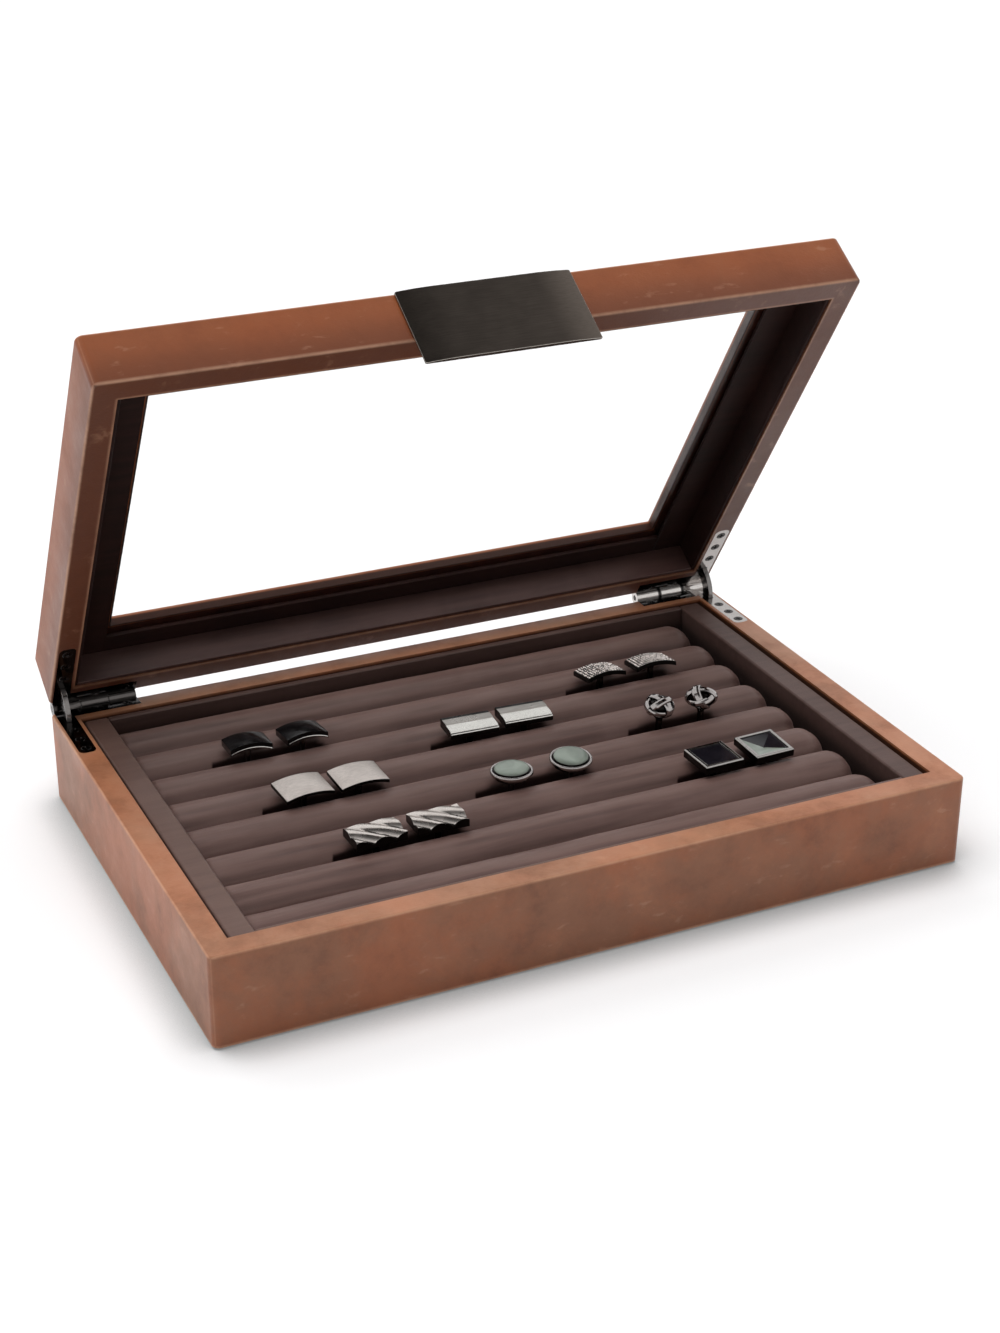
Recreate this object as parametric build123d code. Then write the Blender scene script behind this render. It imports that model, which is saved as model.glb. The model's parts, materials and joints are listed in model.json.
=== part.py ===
from build123d import *
import math
import os

# Cufflink display box: a leather wrapped tray with eight padded rolls, a glazed lid on two
# quadrant hinges, and eight pairs of cufflinks held between the rolls.
# Millimetres. Origin on the table under the middle of the box, +X to the right, +Y to the
# hinges, +Z up. The lid is shaped closed and then turned open about the hinge pins.

# ---- Overall sizes ----
box_width = 280.0
box_depth = 184.0
base_height = 34.5
lid_height = 20.5
seam_gap = 0.3
lid_opened = 57.5
lid_full_open = 95.0

# ---- Wrapped walls ----
core_wall = 7.0
leather = 1.0
corner_radius = 2.6
rim_edge_radius = 0.8
bottom_board = 3.0
pad_thickness = 0.8
pad_inset = 4.0

# ---- Tray ----
tray_side_bar = 8.8
tray_end_bar = 2.8
tray_side_gap = 1.3
tray_end_gap = 0.3
tray_top_drop = 1.1
floor_board = 2.0

# ---- Rolls ----
roll_count = 8
roll_gap = 0.4
roll_end_gap = 2.9
roll_top_drop = 4.1
roll_end_radius = 8.5
roll_foot_radius = 2.5

# ---- Lid ----
window_side_margin = 26.0
window_end_margin = 21.8
rail_thickness = 4.0
glass_thickness = 2.0
glass_lap = 5.0
glass_play = 0.3
retainer_thickness = 1.7
retainer_setback = 2.6
lid_lining = 1.5
lining_drop = 0.8

# ---- Plate on the front of the lid ----
plate_width = 64.4
plate_thickness = 1.7
plate_overhang = 10.5
plate_relief = 0.3
plate_corner = 1.0
stud_radius = 1.2
stud_length = 5.0
stud_spacing = 40.0

# ---- Hinges ----
running_gap = 0.3
knuckle_radius = 2.6
pin_radius = 1.1
pin_play = 0.05
leaf_thickness = 1.65
leaf_width = 6.4
side_leg_length = 36.0
back_leg_length = 32.0
back_leg_width = 5.7
leaf_corner = 2.2
side_screw_spacing = 7.8
side_screw_end = 3.6
back_screw_spacing = 11.0
back_screw_end = 4.6
screw_head_radius = 1.9
screw_head_height = 1.1
screw_shank_radius = 0.9
screw_length = 7.5
recess_length = 2.5
recess_width = 0.5
recess_depth = 0.45
bore_overrun = 2.0
stay_inner_radius = 8.0
stay_outer_radius = 13.0
stay_thickness = 2.0
stay_hook = 2.0
stay_hook_angle = 10.0
stay_angle_play = 2.0

# ---- Cufflinks ----
bar_length = 14.0
bar_radius = 2.3
post_radius = 1.25
bar_sink = 14.0
bar_rounding = 0.6
post_root = 0.5
face_lift = 0.7
pocket_play = 1.1
pocket_lead = 7.0
pocket_tail = 3.0

# ---- Cufflink faces: length along the rolls, depth across them ----
black_length = 15.2
black_depth = 12.6
black_thickness = 2.4
black_bow = 2.0
mesh_length = 16.4
mesh_depth = 12.0
mesh_thickness = 2.2
mesh_bow = 2.4
plain_length = 18.2
plain_depth = 14.8
plain_thickness = 2.6
plain_bow = 1.5
step_length = 19.0
back_step_depth = 5.6
back_step_height = 3.8
front_step_depth = 6.0
front_step_height = 3.0
knot_radius = 6.3
knot_half_height = 4.4
band_width = 3.4
band_thickness = 2.2
knot_core_radius = 4.7
disc_radius = 7.8
disc_foot_radius = 4.2
cup_height = 3.8
inlay_radius = 6.8
inlay_rise = 0.8
twist_length = 18.8
twist_depth = 12.0
twist_height = 3.8
flute_radius = 1.7
flute_spacing = 6.0
flute_lift = 0.8
flute_slant = 35.0
square_size = 15.8
square_height = 4.0
square_border = 1.2
square_web = 1.4
square_point = 0.6

# ---- Sizes that follow ----
rim = core_wall + 2 * leather
window_width = box_width - 2 * window_side_margin
window_depth = box_depth - 2 * window_end_margin
half_width = box_width / 2
half_depth = box_depth / 2
inner_width = box_width - 2 * rim
inner_depth = box_depth - 2 * rim
board_top = pad_thickness + bottom_board
tray_top = base_height - tray_top_drop
floor_top = board_top + floor_board
well_width = inner_width - 2 * (tray_side_gap + tray_side_bar)
well_depth = inner_depth - 2 * (tray_end_gap + tray_end_bar)
roll_pitch = well_depth / roll_count
roll_width = roll_pitch - roll_gap
roll_length = well_width - 2 * roll_end_gap
roll_top = base_height - roll_top_drop
face_base = roll_top + face_lift
bar_level = face_base - bar_sink
lid_bottom = base_height + seam_gap
lid_top = lid_bottom + lid_height
rail_bottom = lid_top - rail_thickness
glass_bottom = rail_bottom - glass_thickness
retainer_bottom = glass_bottom - retainer_thickness
hinge_y = half_depth + knuckle_radius + running_gap
hinge_z = base_height + seam_gap / 2
stay_x = half_width - rim / 2


def block(x_from, x_to, y_from, y_to, z_from, z_to):
    """Square edged block between three pairs of limits."""
    middle = Pos((x_from + x_to) / 2, (y_from + y_to) / 2, (z_from + z_to) / 2)
    return middle * Box(x_to - x_from, y_to - y_from, z_to - z_from)


def slab(width, depth, z_from, z_to, radius=0.0):
    """Centred slab, with rounded upright corners if a radius is given."""
    outline = RectangleRounded(width, depth, radius) if radius > 0 else Rectangle(width, depth)
    return Pos(0, 0, z_from) * extrude(outline, z_to - z_from)


def mirrored(solid):
    """The same piece for the other end of the box."""
    return mirror(solid, about=Plane.YZ)


# ---- Hinge hardware, closed ----
def countersunk_screw(x, y, seat_z, way):
    """Screw whose flat head lies in the plane z = seat_z and whose shank points along way."""
    head = Cone(screw_shank_radius, screw_head_radius, screw_head_height)
    head = Pos(0, 0, -screw_head_height / 2) * head
    shank_length = screw_length - screw_head_height
    shank_middle = -screw_head_height - shank_length / 2
    shank = Pos(0, 0, shank_middle) * Cylinder(screw_shank_radius, shank_length)
    turn = Rot() if way < 0 else Rot(180, 0, 0)
    return Pos(x, y, seat_z) * turn * (head + shank)


def cross_recess(x, y, seat_z):
    along = Box(recess_length, recess_width, 2 * recess_depth)
    across = Box(recess_width, recess_length, 2 * recess_depth)
    return Pos(x, y, seat_z) * (along + across)


def screw_places():
    """Centres of the five screws of the right hand leaves."""
    side_end_y = half_depth - side_leg_length
    side = [(stay_x, side_end_y + side_screw_end + n * side_screw_spacing) for n in range(3)]
    back_end_x = stay_x + leaf_width / 2 - back_leg_length
    back_y = half_depth - back_leg_width / 2
    back = [(back_end_x + back_screw_end + n * back_screw_spacing, back_y) for n in range(2)]
    return side + back


def leaf_plate(z_from, z_to):
    """L shaped leaf let into the side rim and the back rim, right hand side."""
    x_out = stay_x + leaf_width / 2
    side_front = half_depth - side_leg_length
    back_front = half_depth - back_leg_width
    side_leg = block(stay_x - leaf_width / 2, x_out, side_front, half_depth, z_from, z_to)
    back_leg = block(x_out - back_leg_length, x_out, back_front, half_depth, z_from, z_to)
    plate = side_leg + back_leg
    free_end = plate.edges().filter_by(Axis.Z).sort_by(Axis.Y)[:2]
    return fillet(free_end, leaf_corner)


def knuckle_spans():
    """Lengths along X of the three knuckles on the right, from the inner one out."""
    x_out = stay_x + leaf_width / 2
    step = back_leg_length / 3
    inner_end = x_out - back_leg_length
    half_gap = running_gap / 2
    return [(inner_end + n * step + half_gap, inner_end + (n + 1) * step - half_gap) for n in range(3)]


def knuckle(span, z_from, z_to, bore_radius):
    """Barrel length with the web that joins it to its leaf."""
    middle = (span[0] + span[1]) / 2
    length = span[1] - span[0]
    barrel = Pos(middle, hinge_y, hinge_z) * Rot(0, 90, 0) * Cylinder(knuckle_radius, length)
    web = block(span[0], span[1], half_depth - leaf_thickness, hinge_y, z_from, z_to)
    bore = Pos(middle, hinge_y, hinge_z) * Rot(0, 90, 0) * Cylinder(bore_radius, length + bore_overrun)
    return barrel + web - bore


def stay_sector(inner, outer, angle_from, angle_to, thickness):
    """Ring sector round the hinge pin; angles rise from the front of the box."""
    ring = Circle(outer) - Circle(inner)
    reach = 3 * outer
    step = (angle_to - angle_from) / 4
    turns = [math.radians(angle_from + n * step) for n in range(5)]
    rim_points = [(-reach * math.cos(turn), reach * math.sin(turn)) for turn in turns]
    wedge = make_face(Polyline([(0, 0)] + rim_points + [(0, 0)]))
    sector = extrude(Plane.YZ * (ring & wedge), thickness / 2, both=True)
    return Pos(stay_x, hinge_y, hinge_z) * sector


# The hooks of a stay meet the undersides of both leaves when the lid is fully open.
hook_middle = stay_outer_radius + stay_hook / 2
hook_drop = math.degrees(math.asin((seam_gap / 2 + leaf_thickness + running_gap) / hook_middle))
hook_start = lid_full_open / 2 + hook_drop
stay_half_angle = hook_start + stay_hook_angle
stay_back_limit = half_depth - leather - 0.5 * running_gap


def stay_arm():
    """Curved stay with an outward hook at each end, for the closed lid."""
    end = stay_half_angle
    arm = stay_sector(stay_inner_radius, stay_outer_radius, -end, end, stay_thickness)
    outer = stay_outer_radius + stay_hook
    upper_hook = stay_sector(stay_inner_radius, outer, hook_start, end, stay_thickness)
    lower_hook = stay_sector(stay_inner_radius, outer, -end, -hook_start, stay_thickness)
    return arm + upper_hook + lower_hook - behind_stay(stay_back_limit - running_gap, outer)


def behind_stay(y_from, reach):
    """Space behind a plane across the stay, which the leather at the back of the box needs."""
    return block(0, half_width, y_from, hinge_y + reach, hinge_z - reach, hinge_z + reach)


def stay_pocket():
    """Room in the walls for both halves of the closed stay."""
    outer = stay_outer_radius + stay_hook + running_gap
    inner = stay_inner_radius - running_gap
    half_angle = stay_half_angle + stay_angle_play
    room = stay_sector(inner, outer, -half_angle, half_angle, stay_thickness + 2 * running_gap)
    return room - behind_stay(stay_back_limit, outer)


def stay_slot():
    """Slot in both leaves for the arm without its hooks."""
    z_reach = seam_gap + 2 * leaf_thickness
    y_front = hinge_y - stay_outer_radius - running_gap
    y_back = hinge_y - stay_inner_radius + 2 * running_gap
    x_from = stay_x - stay_thickness / 2 - running_gap
    x_to = stay_x + stay_thickness / 2 + running_gap
    return block(x_from, x_to, y_front, y_back, hinge_z - z_reach, hinge_z + z_reach)


base_screws_right = [countersunk_screw(x, y, base_height, -1) for x, y in screw_places()]
lid_screws_right = [countersunk_screw(x, y, lid_bottom, 1) for x, y in screw_places()]
base_plate_right = leaf_plate(base_height - leaf_thickness, base_height)
lid_plate_right = leaf_plate(lid_bottom, lid_bottom + leaf_thickness)
base_cut_right = stay_pocket() + base_plate_right + base_screws_right
lid_cut_right = stay_pocket() + lid_plate_right + lid_screws_right
base_cuts = [base_cut_right, mirrored(base_cut_right)]
lid_cuts = [lid_cut_right, mirrored(lid_cut_right)]


def base_leaf():
    spans = knuckle_spans()
    z_from = base_height - leaf_thickness
    bore = pin_radius + pin_play / 2
    leaf = base_plate_right + knuckle(spans[0], z_from, base_height, bore)
    leaf = leaf + knuckle(spans[2], z_from, base_height, bore)
    return leaf - stay_slot() - base_screws_right


def lid_leaf():
    z_to = lid_bottom + leaf_thickness
    leaf = lid_plate_right + knuckle(knuckle_spans()[1], lid_bottom, z_to, pin_radius + pin_play)
    return leaf - stay_slot() - lid_screws_right


def hinge_pin():
    spans = knuckle_spans()
    length = spans[2][1] - spans[0][0]
    middle = (spans[2][1] + spans[0][0]) / 2
    pin = Rot(0, 90, 0) * Cylinder(pin_radius, length)
    return Pos(middle, hinge_y, hinge_z) * pin


def screw_set(screws, seat_z):
    """All screws of one pair of leaves, as separate solids in one group."""
    finished = [screw - cross_recess(x, y, seat_z) for screw, (x, y) in zip(screws, screw_places())]
    return Compound(children=finished + [mirrored(screw) for screw in finished])


# ---- Base ----
def core_ring(z_from, z_to):
    outside = slab(box_width - 2 * leather, box_depth - 2 * leather, z_from, z_to, corner_radius - leather)
    opening = slab(inner_width + 2 * leather, inner_depth + 2 * leather, z_from, z_to)
    return outside - opening


def split_walls(ring, z_from, z_to, cuts):
    """Front, back, left and right bars; the side bars run the whole depth."""
    x_joint = inner_width / 2 + leather
    y_joint = inner_depth / 2 + leather
    rooms = {
        "front": block(-x_joint, x_joint, -half_depth, -y_joint, z_from, z_to),
        "back": block(-x_joint, x_joint, y_joint, half_depth, z_from, z_to),
        "left": block(-half_width, -x_joint, -half_depth, half_depth, z_from, z_to),
        "right": block(x_joint, half_width, -half_depth, half_depth, z_from, z_to),
    }
    return {side: ring & room - cuts[0] - cuts[1] for side, room in rooms.items()}


def base_walls():
    z_to = base_height - leather
    walls = split_walls(core_ring(pad_thickness, z_to), pad_thickness, z_to, base_cuts)
    return {f"base_{side}_wall": wall for side, wall in walls.items()}


def base_leather_wrap():
    """One hide over the outside, the rim and the inside of the four walls."""
    shell = slab(box_width, box_depth, pad_thickness, base_height, corner_radius)
    shell = shell - slab(inner_width, inner_depth, pad_thickness, base_height)
    shell = fillet(shell.faces().sort_by(Axis.Z)[-1].outer_wire().edges(), rim_edge_radius)
    return shell - core_ring(pad_thickness, base_height - leather) - base_cuts[0] - base_cuts[1]


def base_bottom_panel():
    return slab(inner_width, inner_depth, pad_thickness, board_top)


def base_underside_pad():
    return slab(box_width - 2 * pad_inset, box_depth - 2 * pad_inset, 0, pad_thickness, corner_radius)


# ---- Tray ----
def tray_bars():
    x_out = well_width / 2 + tray_side_bar
    y_out = inner_depth / 2 - tray_end_gap
    x_in = well_width / 2
    y_in = well_depth / 2
    return {
        "tray_front_bar": block(-x_in, x_in, -y_out, -y_in, board_top, tray_top),
        "tray_back_bar": block(-x_in, x_in, y_in, y_out, board_top, tray_top),
        "tray_left_bar": block(-x_out, -x_in, -y_out, y_out, board_top, tray_top),
        "tray_right_bar": block(x_in, x_out, -y_out, y_out, board_top, tray_top),
    }


def tray_floor():
    return slab(well_width, well_depth, board_top, floor_top)


def groove_y(number):
    """Place of the groove behind roll `number`, counted from the front."""
    return -well_depth / 2 + number * roll_pitch


def padded_roll(number):
    """Padded roll `number` from the front, with room for the cufflinks pushed in beside it."""
    radius = roll_width / 2
    height = roll_top - floor_top
    upper = Pos(0, height - radius) * Circle(radius)
    lower = Pos(0, (height - radius) / 2) * Rectangle(roll_width, height - radius)
    section = upper + lower
    feet = section.vertices().sort_by(Axis.Y)[:2]
    section = fillet(feet, roll_foot_radius)
    body = extrude(Plane.YZ * section, roll_length / 2, both=True)
    plan = extrude(RectangleRounded(roll_length, roll_width, 0.45 * roll_width), height)
    side = Pos(0, height / 2) * RectangleRounded(roll_length, height, roll_end_radius)
    body = body & plan & extrude(Plane.XZ * side, roll_width, both=True)
    body = Pos(0, groove_y(number) - roll_pitch / 2, floor_top) * body
    for pair in cufflink_pairs:
        if pair["groove"] in (number - 1, number):
            body = body - pair_pocket(pair)
    return body


# ---- Lid, closed ----
def lid_walls():
    z_from = lid_bottom + leather
    z_to = lid_top - leather
    walls = split_walls(core_ring(z_from, z_to), z_from, z_to, lid_cuts)
    walls["front"] = walls["front"] - plate_studs()
    return {f"lid_{side}_wall": wall for side, wall in walls.items()}


def frame_outline():
    """Solid that fills the lid between its core walls, from the glass up, less the window."""
    whole = slab(inner_width + 2 * leather, inner_depth + 2 * leather, glass_bottom, lid_top - leather)
    window = slab(window_width + 2 * leather, window_depth + 2 * leather, glass_bottom, lid_top)
    rebate_width = window_width + 2 * (glass_lap + glass_play)
    rebate_depth = window_depth + 2 * (glass_lap + glass_play)
    return whole - window - slab(rebate_width, rebate_depth, glass_bottom, rail_bottom)


def lid_top_frame():
    """Four rails round the window, side rails full depth, with a rebate for the glass."""
    frame = frame_outline()
    x_joint = window_width / 2 + leather
    side_room = block(x_joint, half_width, -half_depth, half_depth, glass_bottom, lid_top)
    end_room = block(-x_joint, x_joint, 0, half_depth, glass_bottom, lid_top)
    right_rail = frame & side_room
    back_rail = frame & end_room
    front_rail = mirror(back_rail, about=Plane.XZ)
    return Compound(children=[right_rail, mirrored(right_rail), back_rail, front_rail])


def lid_leather_wrap():
    """One hide over the lid: outside, rim, inside of the walls, top and window edge."""
    shell = slab(box_width, box_depth, lid_bottom, lid_top, corner_radius)
    shell = shell - slab(inner_width, inner_depth, lid_bottom, glass_bottom)
    shell = shell - slab(window_width, window_depth, glass_bottom, lid_top)
    top_rim = shell.faces().sort_by(Axis.Z)[-1].outer_wire().edges()
    low_rim = shell.faces().sort_by(Axis.Z)[0].outer_wire().edges()
    shell = fillet(top_rim + low_rim, rim_edge_radius)
    shell = shell - core_ring(lid_bottom + leather, lid_top - leather) - lid_frame_room()
    return shell - lid_cuts[0] - lid_cuts[1] - plate_studs()


def lid_frame_room():
    """Everything inside the wrap that the rails and the glass take up."""
    whole = slab(inner_width + 2 * leather, inner_depth + 2 * leather, glass_bottom, lid_top - leather)
    edge_skin = slab(window_width + 2 * leather, window_depth + 2 * leather, rail_bottom, lid_top)
    return whole - edge_skin


def lid_glass():
    return slab(window_width + 2 * glass_lap, window_depth + 2 * glass_lap, glass_bottom, rail_bottom)


def glass_retainer():
    """Four lined strips that hold the glass up against the rails."""
    z_from = retainer_bottom
    z_to = glass_bottom
    x_joint = window_width / 2 + retainer_setback
    y_inner = window_depth / 2 + retainer_setback
    right_strip = block(x_joint, inner_width / 2, -inner_depth / 2, inner_depth / 2, z_from, z_to)
    back_strip = block(-x_joint, x_joint, y_inner, inner_depth / 2, z_from, z_to)
    front_strip = mirror(back_strip, about=Plane.XZ)
    return Compound(children=[right_strip, mirrored(right_strip), back_strip, front_strip])


def lid_linings():
    """Lined cards on the inner faces of the lid walls."""
    z_from = lid_bottom + lining_drop
    x_out = inner_width / 2
    y_out = inner_depth / 2
    x_in = x_out - lid_lining
    y_in = y_out - lid_lining
    return {
        "lid_front_lining": block(-x_in, x_in, -y_out, -y_in, z_from, retainer_bottom),
        "lid_back_lining": block(-x_in, x_in, y_in, y_out, z_from, retainer_bottom),
        "lid_left_lining": block(-x_out, -x_in, -y_out, y_out, z_from, retainer_bottom),
        "lid_right_lining": block(x_in, x_out, -y_out, y_out, z_from, retainer_bottom),
    }


def plate_studs():
    """Two studs behind the plate, driven into the front wall of the lid."""
    stud = Rot(90, 0, 0) * Cylinder(stud_radius, stud_length)
    level = (lid_bottom + lid_top) / 2
    middle_y = -half_depth + stud_length / 2
    return [Pos(side * stud_spacing / 2, middle_y, level) * stud for side in (-1, 1)]


def front_plate():
    """Metal plate on the front of the lid that laps over the front of the closed base."""
    z_from = lid_bottom - plate_overhang
    half_plate = plate_width / 2
    plate = block(-half_plate, half_plate, -half_depth - plate_thickness, -half_depth, z_from, lid_top)
    plate = fillet(plate.edges().filter_by(Axis.Y), plate_corner)
    relief = block(-half_plate, half_plate, -half_depth - plate_relief, -half_depth, z_from, lid_bottom)
    return plate - relief + plate_studs()


# ---- Cufflinks ----
# The pairs stand in three columns: near the left ends of the rolls, in the middle, and near the
# right ends. x gives the middles of the two faces from there, groove counts the rolls in front
# of the pair, and turn is how far each face is turned about its upright post, in degrees.
left_end = -roll_length / 2
right_end = roll_length / 2
cufflink_pairs = [
    {
        "name": "black",
        "length": black_length,
        "groove": 6,
        "from": left_end,
        "x": (36.8, 58.0),
        "turn": (-3.0, 1.0),
    },
    {
        "name": "mesh",
        "length": mesh_length,
        "groove": 6,
        "from": right_end,
        "x": (-55.4, -33.3),
        "turn": (3.0, -2.0),
    },
    {
        "name": "bar",
        "length": step_length,
        "groove": 5,
        "from": 0.0,
        "x": (-1.6, 20.5),
        "turn": (-3.0, -3.5),
    },
    {
        "name": "plain",
        "length": plain_length,
        "groove": 4,
        "from": left_end,
        "x": (43.3, 64.1),
        "turn": (3.5, 1.5),
    },
    {
        "name": "knot",
        "length": 2 * knot_radius,
        "groove": 4,
        "from": right_end,
        "x": (-51.1, -33.3),
        "turn": (0.0, 2.0),
    },
    {
        "name": "disc",
        "length": 2 * disc_radius,
        "groove": 3,
        "from": 0.0,
        "x": (-3.3, 20.0),
        "turn": (0.0, 0.0),
    },
    {
        "name": "twist",
        "length": twist_length,
        "groove": 2,
        "from": left_end,
        "x": (54.4, 77.4),
        "turn": (2.0, -2.5),
    },
    {
        "name": "square",
        "length": square_size,
        "groove": 2,
        "from": right_end,
        "x": (-50.5, -29.7),
        "turn": (2.0, 2.0),
    },
]


def pair_pocket(pair):
    """Slit pressed open between two rolls by the closing bars of a pair."""
    x_from = pair["from"] + pair["x"][0] - pair["length"] / 2 - pocket_lead
    x_to = pair["from"] + pair["x"][1] + pair["length"] / 2 + pocket_tail
    half_slit = bar_radius + pocket_play
    middle = groove_y(pair["groove"])
    z_from = bar_level - bar_radius - running_gap
    return block(x_from, x_to, middle - half_slit, middle + half_slit, z_from, roll_top + running_gap)


def post_and_bar(face_back):
    """Upright post from the face down to the closing bar between the rolls."""
    bar = Rot(0, 90, 0) * Cylinder(bar_radius, bar_length)
    bar = fillet(bar.edges().filter_by(GeomType.CIRCLE), bar_rounding * bar_radius)
    height = face_back - bar_level
    post = Pos(0, 0, bar_level + height / 2) * Cylinder(post_radius, height)
    return Pos(0, 0, bar_level) * bar + post


def bowed_face(length, depth, thickness, bow):
    """Rectangular face bowed along its length, the middle higher than the ends by bow."""
    half = length / 2
    low = (-half, 0)
    arc_under = ThreePointArc(low, (0, bow), (half, 0))
    arc_over = ThreePointArc((half, thickness), (0, bow + thickness), (-half, thickness))
    ends = [Line((half, 0), (half, thickness)), Line((-half, thickness), low)]
    outline = make_face([arc_under, ends[0], arc_over, ends[1]])
    return extrude(Plane.XZ * outline, depth / 2, both=True)


def black_face():
    return bowed_face(black_length, black_depth, black_thickness, black_bow)


def mesh_face():
    return bowed_face(mesh_length, mesh_depth, mesh_thickness, mesh_bow)


def plain_face():
    return bowed_face(plain_length, plain_depth, plain_thickness, plain_bow)


def bar_face():
    """Bar in two steps that meet over the post, the front one lower and broader."""
    back_step = Box(step_length, back_step_depth, back_step_height)
    front_step = Box(step_length, front_step_depth, front_step_height)
    back_step = Pos(0, back_step_depth / 2, back_step_height / 2) * back_step
    front_step = Pos(0, -front_step_depth / 2, front_step_height / 2) * front_step
    return back_step + front_step


def knot_face():
    """Round knot of three crossing bands, a little pressed."""
    band = Cylinder(knot_radius, band_width) - Cylinder(knot_radius - band_thickness, band_width)
    crossings = [Rot(90, 0, 25), Rot(90, 0, 115), Rot(0, 20, 0)]
    knot = Sphere(knot_core_radius)
    for crossing in crossings:
        knot = knot + crossing * band
    pressed = knot & Box(2 * knot_radius, 2 * knot_radius, 2 * knot_half_height)
    return Pos(0, 0, knot_half_height) * pressed


def disc_face():
    """Flat inlay on a cone shaped cup."""
    cup = Pos(0, 0, cup_height / 2) * Cone(disc_foot_radius, disc_radius, cup_height)
    inlay = Pos(0, 0, cup_height + inlay_rise / 2) * Cylinder(inlay_radius, inlay_rise)
    return cup + inlay


def twist_face():
    """Bar with slanting flutes across its top."""
    body = Pos(0, 0, twist_height / 2) * Box(twist_length, twist_depth, twist_height)
    for step in (-1.5, -0.5, 0.5, 1.5):
        place = Pos(step * flute_spacing, 0, twist_height + flute_lift)
        flute = Rot(0, 0, -flute_slant) * Rot(90, 0, 0) * Cylinder(flute_radius, 2 * twist_length)
        body = body - place * flute
    return body


def square_face():
    """Square frame round a sunk four sided point."""
    frame = Pos(0, 0, square_height / 2) * Box(square_size, square_size, square_height)
    inside = square_size - 2 * square_border
    sunk_square = Plane.XY.offset(square_height) * Rectangle(inside, inside)
    point_square = Plane.XY.offset(square_web) * Rectangle(square_point, square_point)
    return frame - loft([sunk_square, point_square])


# Each face with the height of its underside over the post.
face_makers = {
    "black": (black_face, black_bow),
    "mesh": (mesh_face, mesh_bow),
    "bar": (bar_face, 0.0),
    "plain": (plain_face, plain_bow),
    "knot": (knot_face, 0.0),
    "disc": (disc_face, 0.0),
    "twist": (twist_face, 0.0),
    "square": (square_face, 0.0),
}


def cufflink(pair, member):
    """One cufflink of a pair, face above the rolls and bar between them."""
    maker, rise = face_makers[pair["name"]]
    whole = Pos(0, 0, face_base) * maker() + post_and_bar(face_base + rise + post_root)
    place = Pos(pair["from"] + pair["x"][member], groove_y(pair["groove"]), 0)
    return place * Rot(0, 0, pair["turn"][member]) * whole


# ---- Assembly ----
def turned_about_pins(solid, angle):
    """Opened by angle about the hinge pins."""
    return Pos(0, hinge_y, hinge_z) * Rot(-angle, 0, 0) * Pos(0, -hinge_y, -hinge_z) * solid


def fixed_nodes():
    nodes = {**base_walls(), **tray_bars()}
    nodes["base_leather_wrap"] = base_leather_wrap()
    nodes["base_bottom_panel"] = base_bottom_panel()
    nodes["base_underside_pad"] = base_underside_pad()
    nodes["tray_floor"] = tray_floor()
    for number in range(1, roll_count + 1):
        nodes[f"roll_{number}"] = padded_roll(number)
    nodes["right_hinge_base_leaf"] = base_leaf()
    nodes["left_hinge_base_leaf"] = mirrored(base_leaf())
    nodes["right_hinge_pin"] = hinge_pin()
    nodes["left_hinge_pin"] = mirrored(hinge_pin())
    nodes["base_hinge_screws"] = screw_set(base_screws_right, base_height)
    return nodes


def lid_nodes():
    nodes = {**lid_walls(), **lid_linings()}
    nodes["lid_leather_wrap"] = lid_leather_wrap()
    nodes["lid_top_frame"] = lid_top_frame()
    nodes["lid_glass"] = lid_glass()
    nodes["glass_retainer"] = glass_retainer()
    nodes["lid_front_plate"] = front_plate()
    nodes["right_hinge_lid_leaf"] = lid_leaf()
    nodes["left_hinge_lid_leaf"] = mirrored(lid_leaf())
    nodes["lid_hinge_screws"] = screw_set(lid_screws_right, lid_bottom)
    return nodes


def cufflink_nodes():
    nodes = {}
    for pair in cufflink_pairs:
        for member, side in enumerate(("left", "right")):
            nodes[f"{pair['name']}_cufflink_{side}"] = cufflink(pair, member)
    return nodes


all_nodes = {**fixed_nodes(), **cufflink_nodes()}
for name, solid in lid_nodes().items():
    all_nodes[name] = turned_about_pins(solid, lid_opened)
all_nodes["right_hinge_stay"] = turned_about_pins(stay_arm(), lid_opened / 2)
all_nodes["left_hinge_stay"] = turned_about_pins(mirrored(stay_arm()), lid_opened / 2)

os.makedirs("parts", exist_ok=True)
for name, solid in all_nodes.items():
    export_step(solid, f"parts/{name}.step")
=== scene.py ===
import json
import math

import bmesh
import bpy
from mathutils import Matrix, Vector, noise


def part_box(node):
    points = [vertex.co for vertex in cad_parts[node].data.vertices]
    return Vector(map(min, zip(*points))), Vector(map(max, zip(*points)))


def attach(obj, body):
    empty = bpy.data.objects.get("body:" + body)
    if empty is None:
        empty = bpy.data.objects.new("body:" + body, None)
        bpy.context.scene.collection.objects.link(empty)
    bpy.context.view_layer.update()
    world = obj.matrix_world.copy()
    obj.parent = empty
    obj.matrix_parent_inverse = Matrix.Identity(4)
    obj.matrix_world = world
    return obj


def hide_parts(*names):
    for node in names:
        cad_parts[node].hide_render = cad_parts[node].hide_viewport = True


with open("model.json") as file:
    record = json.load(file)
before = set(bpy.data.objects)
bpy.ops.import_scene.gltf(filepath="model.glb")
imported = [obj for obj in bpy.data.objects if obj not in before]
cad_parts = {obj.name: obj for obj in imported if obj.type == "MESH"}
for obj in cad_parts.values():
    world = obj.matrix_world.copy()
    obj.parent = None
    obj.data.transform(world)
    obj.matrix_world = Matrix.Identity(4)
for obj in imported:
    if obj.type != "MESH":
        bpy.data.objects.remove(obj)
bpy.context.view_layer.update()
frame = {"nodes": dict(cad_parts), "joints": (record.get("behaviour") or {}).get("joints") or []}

mm = 0.001
print("frame loaded")


def spinAbout(axis, degrees, size=4):
    return Matrix.Rotation(math.radians(degrees), size, axis)


def shiftBy(x, y, z):
    return Matrix.Translation(Vector((x, y, z)) * mm)


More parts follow.
